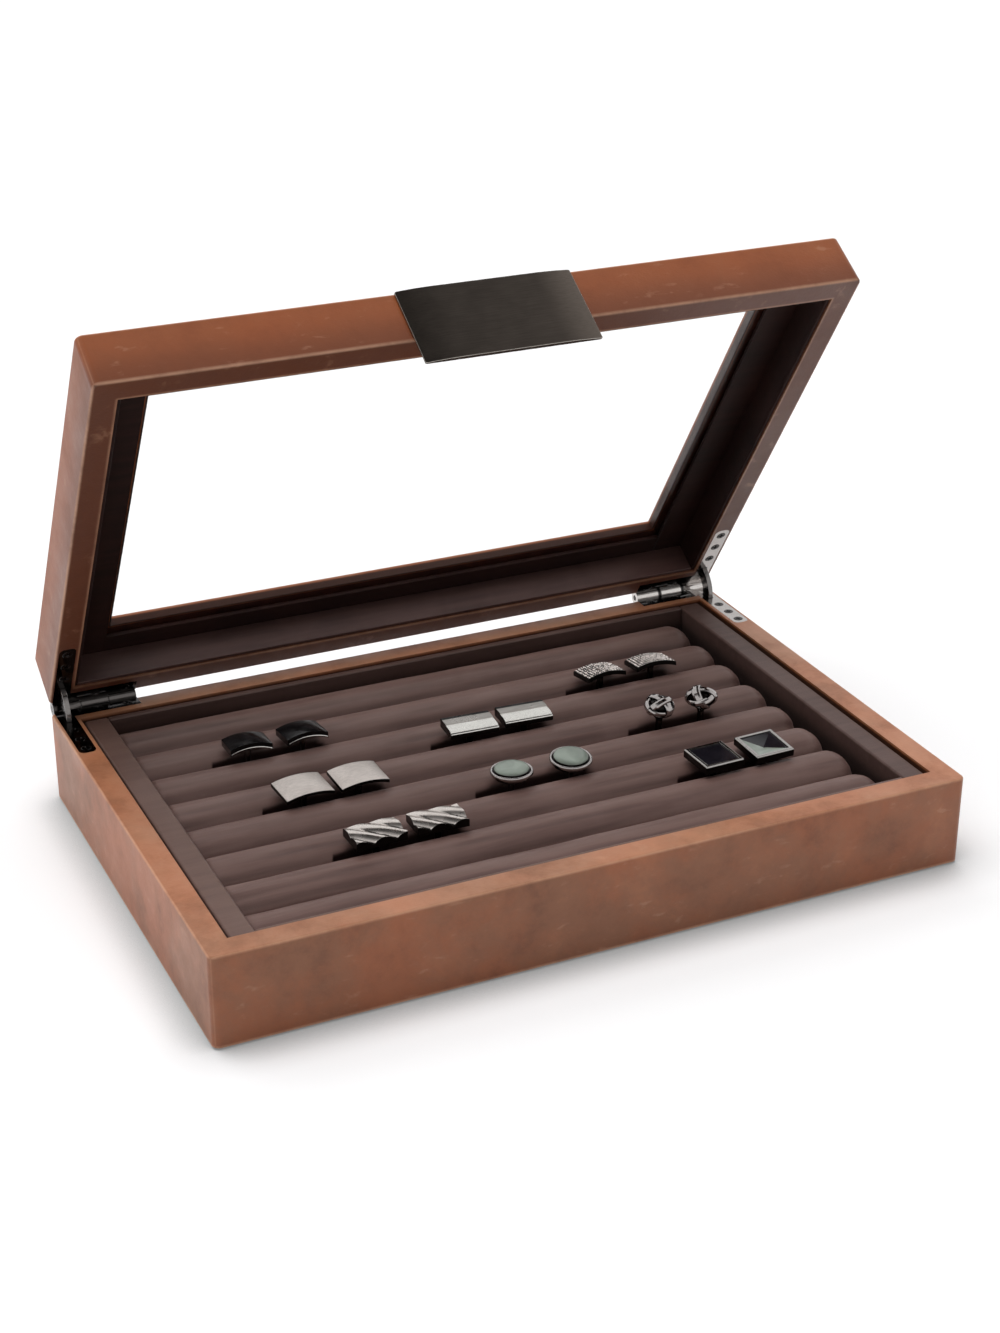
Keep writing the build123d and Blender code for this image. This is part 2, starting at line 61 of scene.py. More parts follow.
# the lid is modelled closed and turned open about the hinge pins
lidJoint = next(j for j in frame["joints"] if j["name"] == "lid_hinge")
pinLine = Vector(lidJoint["pos_m"])
openTurn = spinAbout(Vector(lidJoint["axis"]), -lidJoint["range_deg"][0])
lidOpened = Matrix.Translation(pinLine) @ openTurn @ Matrix.Translation(-pinLine)
lidClosed = lidOpened.inverted()


def closedBox(node):
    points = [lidClosed @ v.co for v in frame["nodes"][node].data.vertices]
    low = Vector([min(p[k] for p in points) for k in range(3)])
    high = Vector([max(p[k] for p in points) for k in range(3)])
    return low, high


# node helpers, for shaders and geometry alike
def srgb(red, green, blue):
    channels = []
    for value in (red, green, blue):
        c = value / 255
        channels.append(c / 12.92 if c <= 0.04045 else ((c + 0.055) / 1.055) ** 2.4)
    return (*channels, 1.0)


def wire(tree, node, inputs):
    # links the values that are sockets and sets the others
    for key, value in inputs.items():
        if isinstance(value, bpy.types.NodeSocket):
            tree.links.new(value, node.inputs[key])
        else:
            node.inputs[key].default_value = value
    return node


def put(tree, kind, inputs=None, **settings):
    # a kind without a prefix is a shader node
    node = tree.nodes.new(kind if "Node" in kind else "ShaderNode" + kind)
    for name, value in settings.items():
        setattr(node, name, value)
    return wire(tree, node, inputs or {})


def newTree(name, family, inputs, outputs):
    # gives the tree, the sockets that it is given and the node that takes its results
    tree = bpy.data.node_groups.new(name, family + "NodeTree")
    for side, sockets in (("INPUT", inputs), ("OUTPUT", outputs)):
        for socketName, kind, *value in sockets:
            socket = tree.interface.new_socket(socketName, in_out=side, socket_type="NodeSocket" + kind)
            if value:
                socket.default_value = value[0]
    given = tree.nodes.new("NodeGroupInput").outputs
    return tree, given, tree.nodes.new("NodeGroupOutput")


def useGroup(tree, group, inputs):
    return put(tree, "Group", inputs, node_tree=group).outputs


def calc(tree, operation, *values):
    return put(tree, "Math", dict(enumerate(values)), operation=operation).outputs[0]


def calcVector(tree, operation, *values):
    return put(tree, "VectorMath", dict(enumerate(values)), operation=operation).outputs[0]


def split(tree, vector):
    return put(tree, "SeparateXYZ", {0: vector}).outputs


def fade(tree, value, low, high, start=0.0, end=1.0):
    return put(
        tree, "MapRange",
        {"Value": value, "From Min": low, "From Max": high, "To Min": start, "To Max": end},
        interpolation_type="SMOOTHSTEP",
    ).outputs[0]


def mixColour(tree, factor, first, second):
    return put(tree, "Mix", {0: factor, 6: first, 7: second}, data_type="RGBA").outputs[2]


def cloudNoise(tree, vector, scale, detail, roughness=0.5, distortion=0.0):
    return put(tree, "TexNoise", {
        "Vector": vector, "Scale": scale, "Detail": detail, "Roughness": roughness, "Distortion": distortion,
    }).outputs["Fac"]


def makeHideGroup():
    # cloudy dye, fine pores, soft creases and short rubs of a tanned hide
    tree, given, results = newTree(
        "hideGrain", "Shader",
        [("Vector", "Vector"), ("Cloud Scale", "Float", 20.0), ("Pore Scale", "Float", 1300.0)],
        [("Cloud", "Float"), ("Patch", "Float"), ("Scuff", "Float"), ("Height", "Float")],
    )
    vector = given["Vector"]

    def finer(times):
        return calc(tree, "MULTIPLY", given["Cloud Scale"], times)

    cloud = cloudNoise(tree, vector, given["Cloud Scale"], 7.0, 0.66, 0.25)
    patch = cloudNoise(tree, vector, finer(2.5), 7.0, 0.66, 0.1)
    crease = cloudNoise(tree, vector, finer(11.0), 5.0, 0.7)
    pores = put(tree, "TexVoronoi", {
        "Vector": vector, "Scale": given["Pore Scale"], "Smoothness": 0.6,
    }, feature="SMOOTH_F1").outputs["Distance"]
    # short slanted rubs, only where the dye is thin
    slanted = put(tree, "Mapping", {
        "Vector": vector, "Rotation": (0.5, 0.35, 0.6), "Scale": (1, 1, 2.5),
    }).outputs[0]
    rubbing = cloudNoise(tree, slanted, finer(9.0), 3.0, 0.55, 0.3)
    thin = fade(tree, patch, 0.46, 0.6)
    wire(tree, results, {
        "Cloud": cloud,
        "Patch": patch,
        "Scuff": calc(tree, "MULTIPLY", fade(tree, rubbing, 0.58, 0.72), thin),
        "Height": calc(tree, "MULTIPLY_ADD", crease, 0.9, calc(tree, "MULTIPLY", pores, 0.35)),
    })
    return tree


def makeEdgeGroup():
    # 1 along the edges of a box of the given half size, 0 away from them
    tree, given, results = newTree(
        "boxEdges", "Shader",
        [("Vector", "Vector"), ("Half Size", "Vector", (1, 1, 1)), ("Width", "Float", 0.001)],
        [("Mask", "Float")],
    )
    inset = calcVector(tree, "SUBTRACT", given["Half Size"], calcVector(tree, "ABSOLUTE", given["Vector"]))
    x, y, z = split(tree, inset)
    # the middle one of the three is small only where two of them are
    least = calc(tree, "MINIMUM", x, y)
    most = calc(tree, "MAXIMUM", x, y)
    middle = calc(tree, "MAXIMUM", least, calc(tree, "MINIMUM", most, z))
    ratio = calc(tree, "DIVIDE", middle, given["Width"])
    wire(tree, results, {"Mask": fade(tree, ratio, 0.0, 1.0, 1.0, 0.0)})
    return tree


def makeRimGroup():
    # 1 along the edge of a rectangular opening of the given half size, at the given height
    tree, given, results = newTree(
        "openingEdge", "Shader",
        [("Vector", "Vector"), ("Half Opening", "Vector", (1, 1, 0)), ("Height", "Float", 0.0),
         ("Depth", "Float", 0.01), ("Width", "Float", 0.001)],
        [("Mask", "Float"), ("Wall", "Float")],
    )

    def inWidths(distance):
        return calc(tree, "DIVIDE", distance, given["Width"])

    sides = calcVector(tree, "ABSOLUTE", given["Vector"])
    x, y = split(tree, calcVector(tree, "SUBTRACT", sides, given["Half Opening"]))[:2]
    squares = [calc(tree, "POWER", calc(tree, "MAXIMUM", side, 0.0), 2.0) for side in (x, y)]
    outside = calc(tree, "SQRT", calc(tree, "ADD", *squares))
    inside = calc(tree, "MINIMUM", calc(tree, "MAXIMUM", x, y), 0.0)
    flat = calc(tree, "ABSOLUTE", calc(tree, "ADD", outside, inside))
    level = split(tree, given["Vector"])[2]
    rise = calc(tree, "ABSOLUTE", calc(tree, "SUBTRACT", level, given["Height"]))
    near = inWidths(calc(tree, "MAXIMUM", flat, rise))
    below = fade(tree, inWidths(rise), 0.3, 1.2)
    above = fade(tree, calc(tree, "SUBTRACT", rise, given["Depth"]), -0.001, 0.0, 1.0, 0.0)
    wall = fade(tree, inWidths(flat), 0.35, 0.85, 1.0, 0.0)
    wire(tree, results, {
        "Mask": fade(tree, near, 0.0, 1.0, 1.0, 0.0),
        "Wall": calc(tree, "MULTIPLY", wall, calc(tree, "MULTIPLY", below, above)),
    })
    return tree


def makeNapGroup():
    # short nap with brushed streaks that run along X
    tree, given, results = newTree(
        "napStreaks", "Shader",
        [("Vector", "Vector"), ("Streak Scale", "Float", 160.0), ("Nap Scale", "Float", 2600.0)],
        [("Streak", "Float"), ("Bloom", "Float"), ("Height", "Float")],
    )
    drawn = calcVector(tree, "MULTIPLY", given["Vector"], (0.08, 1.0, 1.0))
    streak = cloudNoise(tree, drawn, given["Streak Scale"], 4.0, 0.6)
    nap = cloudNoise(tree, given["Vector"], given["Nap Scale"], 2.0, 0.7)
    wire(tree, results, {
        "Streak": streak,
        "Bloom": cloudNoise(tree, given["Vector"], 34.0, 3.0, distortion=0.6),
        "Height": calc(tree, "MULTIPLY_ADD", streak, 0.8, nap),
    })
    return tree


def makeWearGroup():
    # hairline scratches and finger smudges on metal
    tree, given, results = newTree(
        "metalWear", "Shader",
        [("Vector", "Vector"), ("Stretch", "Vector", (1, 1, 1)), ("Line Scale", "Float", 3000.0)],
        [("Lines", "Float"), ("Smudge", "Float")],
    )
    drawn = calcVector(tree, "MULTIPLY", given["Vector"], given["Stretch"])
    wire(tree, results, {
        "Lines": cloudNoise(tree, drawn, given["Line Scale"], 3.0, 0.65),
        "Smudge": cloudNoise(tree, given["Vector"], 120.0, 4.0, distortion=0.8),
    })
    return tree


hideGrain = makeHideGroup()
boxEdges = makeEdgeGroup()
openingEdge = makeRimGroup()
napStreaks = makeNapGroup()
metalWear = makeWearGroup()


def startMaterial(name):
    material = bpy.data.materials.new(name)
    material.use_nodes = True
    tree = material.node_tree
    tree.nodes.clear()
    return material, tree, put(tree, "TexCoord").outputs["Object"]


def endMaterial(tree, height, depth, **inputs):
    shader = put(tree, "BsdfPrincipled", {key.replace("_", " "): value for key, value in inputs.items()})
    raised = put(tree, "Bump", {"Height": height, "Strength": 1.0, "Distance": depth})
    wire(tree, shader, {"Normal": raised.outputs[0]})
    put(tree, "OutputMaterial", {"Surface": shader.outputs[0]})


cognac = {
    "deep": srgb(80, 38, 19),
    # inner: painted shade on the rim that closes on the base and on the walls of the openings
    "inner": srgb(34, 17, 13),
    "smoked": srgb(132, 82, 50),
    "body": srgb(156, 84, 40),
    "light": srgb(176, 104, 58),
    "russet": srgb(130, 62, 18),
    # rubbed wear on edges and scuffs, and the painted highlight on the top of the base's rim
    "rubbedAndHighlight": srgb(200, 152, 122),
    "bloom": srgb(255, 214, 186),
    "cloudScale": 17.0,
    "poreScale": 1400.0,
    "deepPatches": (0.26, 0.54, 0.52, 0.0),  # noise levels, then how much of the dye shows at each
    "lightPatches": (0.52, 0.76, 0.0, 0.55),
    "rubbedPatches": (0.3, 0.6, 0.35, 0.85),
    "scuffing": 0.19,
    "edgeWidth": 1.2 * mm,
    "crownDepth": 0.7 * mm,
    "footDepth": (0.4 * mm, 0.9 * mm),
    "roughness": 0.48,
    "roughSpread": 0.08,
    "coatRoughness": 0.36,
    "sheenRoughness": 0.35,
    "grainDepth": 0.09 * mm,
}
# each opening: half width, half depth and height of its wall in mm, how worn its edge and how much painted
# shade darkens its wall, and 1 where it lies in the top of the wrap or -1 in the underside
hides = {
    "baseLeather": {
        "box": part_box("base_leather_wrap"), "matrix": Matrix.Identity(4),
        "openings": [(131, 83, 28, 0.45, 0.9, 1)],
        "crown": 0.4, "smoke": 0.85, "paintedLowShade": 0.16, "russet": 0.0, "foot": 0.0,
        "polish": 0.24, "bloom": 0.09,
    },
    "lidLeather": {
        "box": closedBox("lid_leather_wrap"), "matrix": lidClosed,
        "openings": [(131, 83, 15, 0.5, 0.7, -1), (114, 70.2, 12, 0.4, 0.95, 1)],
        "crown": 0.0, "smoke": 0.5, "paintedLowShade": 0.62, "russet": 0.56, "foot": 0.42,
        "polish": 0.1, "bloom": 0.05,
    },
}


def cognacLeather(name, hide):
    material, tree, place = startMaterial(name)
    low, high = hide["box"]
    half = (high.z - low.z) / 2
    # object coordinates from the middle of the wrap, with the lid closed
    inFrame = Matrix.Translation(-(low + high) / 2) @ hide["matrix"]
    local = put(tree, "Mapping", {
        "Vector": place, "Location": inFrame.to_translation(), "Rotation": inFrame.to_euler(),
    }).outputs[0]
    grain = useGroup(tree, hideGrain, {
        "Vector": local, "Cloud Scale": cognac["cloudScale"], "Pore Scale": cognac["poreScale"],
    })
    edges = useGroup(tree, boxEdges, {
        "Vector": local, "Half Size": (high - low) / 2, "Width": cognac["edgeWidth"],
    })["Mask"]
    paintedWallShade = 0.0
    for halfX, halfY, depth, rubbing, shade, end in hide["openings"]:
        opening = useGroup(tree, openingEdge, {
            "Vector": local, "Half Opening": (halfX * mm, halfY * mm, 0), "Height": end * half,
            "Depth": depth * mm, "Width": cognac["edgeWidth"],
        })
        edges = calc(tree, "MAXIMUM", edges, calc(tree, "MULTIPLY", opening["Mask"], rubbing))
        paintedWallShade = calc(tree, "MAXIMUM", paintedWallShade, calc(tree, "MULTIPLY", opening["Wall"], shade))
    level = split(tree, local)[2]
    if hide["crown"] > 0:
        # painted highlight along the flat top of the rim
        below = cognac["crownDepth"]
        rimHighlight = fade(tree, level, half - below, half - below / 3, 0.0, hide["crown"])
        edges = calc(tree, "MAXIMUM", edges, rimHighlight)
    patch = grain["Patch"]
    cloudy = fade(tree, grain["Cloud"], 0.38, 0.62, 1.0 - hide["smoke"], 1.0)
    tone = mixColour(tree, cloudy, cognac["smoked"], cognac["body"])
    tone = mixColour(tree, fade(tree, patch, *cognac["deepPatches"]), tone, cognac["deep"])
    tone = mixColour(tree, fade(tree, patch, *cognac["lightPatches"]), tone, cognac["light"])
    # painted shade: the lid's copy of the leather is made darker and redder than the base's
    tone = mixColour(tree, hide["russet"], tone, cognac["russet"])
    # painted shade: the wrap darkens towards its bottom
    tone = mixColour(tree, fade(tree, level, -half, half * 0.7, hide["paintedLowShade"], 0.0), tone, cognac["deep"])
    if hide["foot"] > 0:
        # painted shade on the rim that closes on the base, which faces down into shadow
        near, far = (reach - half for reach in cognac["footDepth"])
        tone = mixColour(tree, fade(tree, level, near, far, hide["foot"], 0.0), tone, cognac["inner"])
    tone = mixColour(tree, calc(tree, "MULTIPLY", grain["Scuff"], cognac["scuffing"]), tone, cognac["rubbedAndHighlight"])
    # painted shade on the walls of the openings
    tone = mixColour(tree, paintedWallShade, tone, cognac["inner"])
    # edges and scuffs are rubbed wear, and the base's rim top adds a painted highlight
    wearAndHighlight = calc(tree, "MULTIPLY", edges, fade(tree, patch, *cognac["rubbedPatches"]))
    rough, spread = cognac["roughness"], cognac["roughSpread"]
    endMaterial(
        tree, grain["Height"], cognac["grainDepth"],
        Base_Color=mixColour(tree, wearAndHighlight, tone, cognac["rubbedAndHighlight"]),
        Roughness=fade(tree, patch, 0.3, 0.75, rough + spread, rough - spread),
        Coat_Weight=calc(tree, "MULTIPLY", calc(tree, "SUBTRACT", 1.0, paintedWallShade), hide["polish"]),
        Coat_Roughness=cognac["coatRoughness"],
        Sheen_Weight=hide["bloom"], Sheen_Roughness=cognac["sheenRoughness"], Sheen_Tint=cognac["bloom"],
    )
    return material


# dyes and painted shade colours, how strongly they bloom and how the nap catches light
# "sunk" gives the levels in mm between which painted shade darkens the card
linings = {
    "rollCloth": {
        "dark": (90, 67, 62), "body": (109, 85, 79), "bloom": (124, 100, 94), "fold": (36, 20, 18),
        "streakScale": 230.0, "lift": 0.35, "roughness": 0.5, "gloss": 0.4, "sheen": 0.12,
    },
    "linedCard": {
        "dark": (88, 65, 58), "body": (98, 74, 66), "bloom": (108, 85, 78),
        "streakScale": 320.0, "lift": 0.45, "roughness": 0.45, "gloss": 0.4, "sheen": 0.12,
    },
    # partly its own darker lining and partly painted shade inside the lid
    "backCard": {
        "dark": (58, 38, 35), "body": (70, 48, 44), "bloom": (84, 60, 56),
        "streakScale": 320.0, "lift": 0.4, "roughness": 0.5, "gloss": 0.4, "sheen": 0.12,
    },
    # a darker copy of the lined card, painted shade for the tray's bars and floor that lie in shade
    "barCard": {
        "dark": (70, 51, 46), "body": (82, 61, 56), "bloom": (94, 73, 68), "fold": (30, 20, 18),
        "streakScale": 320.0, "lift": 0.4, "roughness": 0.5, "gloss": 0.4, "sheen": 0.12,
        "sunk": (24.0, 30.6),
    },
    "railHide": {
        "dark": (44, 20, 14), "body": (62, 30, 20), "bloom": (84, 42, 27),
        "streakScale": 90.0, "lift": 0.6, "roughness": 0.5, "gloss": 0.3, "sheen": 0.04,
    },
    # dyed near black: partly its own darker lining and partly painted shade inside the lid
    "lidCard": {
        "dark": (23, 11, 9), "body": (34, 17, 14), "bloom": (46, 25, 21),
        "streakScale": 320.0, "lift": 0.45, "roughness": 0.6, "gloss": 0.15, "sheen": 0.03,
    },
}
nap = {"depth": 0.05 * mm, "sheenRoughness": 0.4, "tint": srgb(190, 170, 168), "deepestShade": 0.92}


def liningCloth(name, cloth):
    material, tree, place = startMaterial(name)
    dye = {key: srgb(*cloth[key]) for key in ("dark", "body", "bloom", "fold") if key in cloth}
    brushed = useGroup(tree, napStreaks, {"Vector": place, "Streak Scale": cloth["streakScale"]})
    tone = mixColour(tree, fade(tree, brushed["Streak"], 0.3, 0.7), dye["dark"], dye["body"])
    tone = mixColour(tree, fade(tree, brushed["Bloom"], 0.35, 0.75, 0.0, cloth["lift"]), tone, dye["bloom"])
    if "sunk" in cloth:
        # painted shade: the card darkens below its top edge
        low, high = (level * mm for level in cloth["sunk"])
        shaded = fade(tree, split(tree, place)[2], low, high, nap["deepestShade"], 0.0)
        tone = mixColour(tree, shaded, tone, dye["fold"])
    elif "fold" in cloth:
        # painted shade from the mesh attribute, in the grooves, creases, slits and end caps of the rolls
        folded = put(tree, "Attribute", attribute_name="fold", attribute_type="GEOMETRY").outputs["Fac"]
        tone = mixColour(tree, folded, tone, dye["fold"])
    endMaterial(
        tree, brushed["Height"], nap["depth"], Base_Color=tone, Roughness=cloth["roughness"],
        Specular_IOR_Level=cloth["gloss"],
        Sheen_Weight=cloth["sheen"], Sheen_Roughness=nap["sheenRoughness"], Sheen_Tint=nap["tint"],
    )
    return material


knuckles = {"reach": 3.0, "legLength": 32.0, "tarnish": srgb(26, 23, 22), "band": (0.5, 1.1)}
satin = {"stretch": (0.05, 1, 1), "lineScale": 4200.0, "depth": 0.003}
hairline = {"stretch": (0.02, 1, 1), "lineScale": 5200.0, "depth": 0.004}
# colour and roughness, then how far the roughness spreads and what differs from plain polish
metals = {
    "brushedPlate": ((116, 106, 98), 0.3, 0.02, hairline),
    "plateEdge": ((206, 199, 191), 0.24),
    # the hinge nickels for knuckles and leaves are lit and shaded copies of one nickel, a painted reflection
    "barrelNickel": ((214, 209, 205), 0.1, 0.04, {"banded": True}),
    "darkNickel": ((58, 55, 54), 0.12, 0.04),
    "smokedNickel": ((92, 88, 86), 0.12, 0.04),
    "blackNickel": ((128, 124, 122), 0.13, 0.04),
    "leafNickel": ((186, 181, 178), 0.2, 0.05),
    "screwNickel": ((66, 63, 62), 0.2),
    "brightSilver": ((222, 219, 214), 0.17, 0.05),
    "satinSilver": ((212, 202, 196), 0.38, 0.08, satin),
    "studSilver": ((246, 236, 230), 0.16),
    "twistSilver": ((226, 217, 211), 0.27),
    "barSatin": ((172, 167, 162), 0.34, 0.08, satin),
    "smokyChrome": ((140, 138, 136), 0.14, 0.04),
    "knotChrome": ((176, 170, 168), 0.14, 0.04),
    "frameChrome": ((172, 168, 165), 0.15, 0.05),
    "darkSteel": ((30, 27, 26), 0.34),
}


def metal(name, colour, roughness, spread=0.08, changes=None):
    material, tree, place = startMaterial(name)
    lines = {"stretch": (1, 1, 1), "lineScale": 3000.0, "depth": 0.002, **(changes or {})}
    wear = useGroup(tree, metalWear, {
        "Vector": place, "Stretch": lines["stretch"], "Line Scale": lines["lineScale"],
    })
    bright = srgb(*colour)
    shade = (*(0.72 * c for c in bright[:3]), 1.0)
    tone = mixColour(tree, fade(tree, wear["Lines"], 0.25, 0.75), shade, bright)
    rough = fade(tree, wear["Smudge"], 0.3, 0.7, max(roughness - spread, 0.03), roughness + spread)
    if "banded" in lines:
        # tarnish in the joints between the three knuckles of a leaf
        across = calc(tree, "ABSOLUTE", split(tree, place)[0])
        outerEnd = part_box("right_hinge_base_leaf")[1].x / mm
        near, far = (reach * mm for reach in knuckles["band"])
        for share in (1 / 3, 2 / 3):
            joint = outerEnd - share * knuckles["legLength"]
            away = calc(tree, "ABSOLUTE", calc(tree, "SUBTRACT", across, joint * mm))
            tone = mixColour(tree, fade(tree, away, near, far, 0.92, 0.0), tone, knuckles["tarnish"])
    endMaterial(tree, wear["Lines"], lines["depth"] * mm, Base_Color=tone, Metallic=1.0, Roughness=rough)
    return material


# enamels and stones: colour, roughness and gloss
enamels = {
    "blackEnamel": ((16, 14, 15), 0.16, 0.3),
    "onyx": ((22, 20, 25), 0.09, 0.5),
    "greyInlay": ((122, 130, 121), 0.12, 0.5),
}


def enamel(name, colour, roughness, gloss):
    material, tree, place = startMaterial(name)
    smudge = useGroup(tree, metalWear, {"Vector": place, "Line Scale": 900.0})["Smudge"]
    deep = srgb(*colour)
    light = (*(1.5 * c for c in deep[:3]), 1)
    endMaterial(
        tree, smudge, 0.01 * mm, Base_Color=mixColour(tree, fade(tree, smudge, 0.3, 0.8), deep, light),
        Roughness=fade(tree, smudge, 0.3, 0.7, roughness * 0.6, roughness * 1.5),
        Specular_IOR_Level=gloss, IOR=1.35,
    )
    return material


# scale, detail and coarseness of the fibre, its two colours, roughness, sheen and depth in mm
fibres = {
    "coreBoard": (420.0, 6.0, 0.7, (122, 94, 66), (164, 132, 96), 0.8, 0.0, 0.05),
    "baizeFelt": (1500.0, 5.0, 0.8, (26, 20, 18), (52, 42, 38), 0.95, 0.4, 0.2),
}


def fibreBoard(name, scale, detail, coarseness, dark, light, roughness, sheen, depth):
    material, tree, place = startMaterial(name)
    fibre = cloudNoise(tree, place, scale, detail, coarseness)
    tone = mixColour(tree, fade(tree, fibre, 0.3, 0.7), srgb(*dark), srgb(*light))
    endMaterial(tree, fibre, depth * mm, Base_Color=tone, Roughness=roughness, Sheen_Weight=sheen)
    return material


def windowGlass(name):
    material, tree, place = startMaterial(name)
    tint = mixColour(tree, cloudNoise(tree, place, 9.0, 2.0), (1, 1, 1, 1), (0.98, 0.995, 0.99, 1))
    clear = put(tree, "BsdfPrincipled", {
        "Base Color": tint, "Roughness": 0.0, "IOR": 1.14, "Transmission Weight": 1.0,
    })
    path = put(tree, "LightPath").outputs
    passing = calc(tree, "MAXIMUM", path["Is Shadow Ray"], path["Is Diffuse Ray"])
    seeThrough = put(tree, "BsdfTransparent", {"Color": (0.86, 0.87, 0.865, 1)})
    mixed = put(tree, "MixShader", {0: passing, 1: clear.outputs[0], 2: seeThrough.outputs[0]})
    put(tree, "OutputMaterial", {"Surface": mixed.outputs[0]})
    return material


looks = {name: cognacLeather(name, hide) for name, hide in hides.items()}
looks.update({name: liningCloth(name, cloth) for name, cloth in linings.items()})
looks.update({name: fibreBoard(name, *fibre) for name, fibre in fibres.items()})
looks["windowGlass"] = windowGlass("windowGlass")
looks.update({name: metal(name, *finish) for name, finish in metals.items()})
looks.update({name: enamel(name, *finish) for name, finish in enamels.items()})
print("materials made:", len(looks))


# mesh helpers, with their sizes in mm
def smooth(value):
    t = min(max(value, 0.0), 1.0)
    return t * t * (3 - 2 * t)


def dot(bm, x, y, z):
    return bm.verts.new(Vector((x, y, z)) * mm)


def circle(count):
    angles = [2 * math.pi * k / count for k in range(count)]
    return [(math.cos(a), math.sin(a)) for a in angles]


def joinRings(bm, rings):
    # quads between closed rings of points, the strips one after another
    faces = []
    for low, high in zip(rings, rings[1:]):
        for k in range(len(low)):
            j = (k + 1) % len(low)
            faces.append(bm.faces.new((low[k], low[j], high[j], high[k])))
    return faces


def newPiece(name, bm, *materials):
    mesh = bpy.data.meshes.new(name)
    bm.to_mesh(mesh)
    bm.free()
    piece = bpy.data.objects.new(name, mesh)
    bpy.context.scene.collection.objects.link(piece)
    for material in materials:
        mesh.materials.append(looks[material])
    return piece


def settle(piece):
    # modifiers become plain mesh
    bpy.context.view_layer.update()
    graph = bpy.context.evaluated_depsgraph_get()
    flat = bpy.data.meshes.new_from_object(piece.evaluated_get(graph))
    piece.modifiers.clear()
    piece.data = flat
    return piece


def softenEdges(piece, width, segments=3, angle=32, edgeSlot=-1):
    edge = piece.modifiers.new("softEdge", "BEVEL")
    edge.material = edgeSlot
    edge.width = width * mm
    edge.segments = segments
    edge.limit_method = "ANGLE"
    edge.angle_limit = math.radians(angle)
    piece.data.shade_smooth()
    piece.modifiers.new("evenNormals", "WEIGHTED_NORMAL").weight = 90
    return settle(piece)


def mergedCopy(node):
    bm = bmesh.new()
    bm.from_mesh(frame["nodes"][node].data)
    bmesh.ops.remove_doubles(bm, verts=bm.verts, dist=2e-6)
    return bm


def adopt(piece, body, slot, *nodes):
    if nodes:
        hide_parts(*nodes)
    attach(piece, body)


def softCopy(node, name, body, slot, look, width, segments=3):
    # the CAD node's own shape with softened edges
    bm = mergedCopy(node)
    bmesh.ops.dissolve_limit(
        bm, angle_limit=math.radians(0.6), verts=bm.verts, edges=bm.edges, use_dissolve_boundaries=False
    )
    piece = softenEdges(newPiece(name, bm, look), width, segments)
    adopt(piece, body, slot, node)
    return piece


# leather covers
hideEdge = 0.55
softCopy("base_leather_wrap", "baseHide", "base", "cognac_leather", "baseLeather", hideEdge)
softCopy("lid_leather_wrap", "lidHide", "lid", "cognac_leather", "lidLeather", hideEdge)
print("leather covers made")

# lined cards of the tray and the lid: name, body, look, softness of the edges
linedCards = {
    "tray_front_bar": ("trayFrontBar", "base", "linedCard", 0.7),
    "tray_back_bar": ("trayBackBar", "base", "barCard", 0.7),
    "tray_left_bar": ("trayLeftBar", "base", "linedCard", 0.9),
    "tray_right_bar": ("trayRightBar", "base", "barCard", 0.9),
    "tray_floor": ("trayFloor", "base", "barCard", 0.4),
    "lid_front_lining": ("lidFrontLining", "lid", "lidCard", 0.4),
    "lid_back_lining": ("lidBackLining", "lid", "backCard", 0.4),
    "lid_left_lining": ("lidLeftLining", "lid", "lidCard", 0.4),
    "lid_right_lining": ("lidRightLining", "lid", "lidCard", 0.4),
    "glass_retainer": ("glassRetainer", "lid", "lidCard", 0.4),
}
for node, (name, body, look, edge) in linedCards.items():
    softCopy(node, name, body, "lining", look, edge)
print("lined cards made:", len(linedCards))

# these keep the shape of their CAD nodes: the boards that the covers hide, window frame, pad and glass
carriedOver = {n: "coreBoard" for n in frame["nodes"] if n.endswith("_wall")}
carriedOver.update({
    "base_bottom_panel": "coreBoard", "lid_top_frame": "railHide",
    "base_underside_pad": "baizeFelt", "lid_glass": "windowGlass",
})
for node, look in carriedOver.items():
    frame["nodes"][node].data.materials.clear()
    frame["nodes"][node].data.materials.append(looks[look])

# hinges: painted reflection, with the right one made bright on its knuckles and side legs, the left one dark,
# and the back legs dark
hinges = {
    "leafEdge": 0.2, "stayEdge": 0.25, "pinEdge": 0.3, "backLegReach": 131.0, "backLegLook": "darkNickel",
    "left": ("darkNickel", "smokedNickel"), "right": ("leafNickel", "barrelNickel"),
}


def paintLeaf(piece, knuckleLook):
    for look in (knuckleLook, hinges["backLegLook"]):
        piece.data.materials.append(looks[look])
    bm = bmesh.new()
    bm.from_mesh(piece.data)
    legEnd = hinges["backLegReach"] * mm
    cut = math.copysign(legEnd, piece.data.vertices[0].co.x)
    # cut where the legs meet, so that no face belongs to both
    bmesh.ops.bisect_plane(
        bm, geom=bm.verts[:] + bm.edges[:] + bm.faces[:], dist=1e-7, plane_co=(cut, 0, 0), plane_no=(1, 0, 0)
    )
    bm.to_mesh(piece.data)
    bm.free()
    # painted reflection: knuckles get the bright or dark knuckle look, the back legs the dark one
    for face in piece.data.polygons:
        away = face.center - pinLine
        if math.hypot(away.y, away.z) < knuckles["reach"] * mm:
            face.material_index = 1
        elif abs(away.x) < legEnd:
            face.material_index = 2


for side in ("left", "right"):
    leafLook, knuckleLook = hinges[side]
    for body in ("base", "lid"):
        name = f"{side}{body.capitalize()}Leaf"
        node = f"{side}_hinge_{body}_leaf"
        paintLeaf(softCopy(node, name, body, "hinge_metal", leafLook, hinges["leafEdge"], 2), knuckleLook)
    for part, body, look in (("stay", f"{side}_stay", "blackNickel"), ("pin", "base", "darkNickel")):
        name = f"{side}{part.capitalize()}"
        softCopy(f"{side}_hinge_{part}", name, body, "hinge_metal", look, hinges[f"{part}Edge"], 2)
print("hinges made")


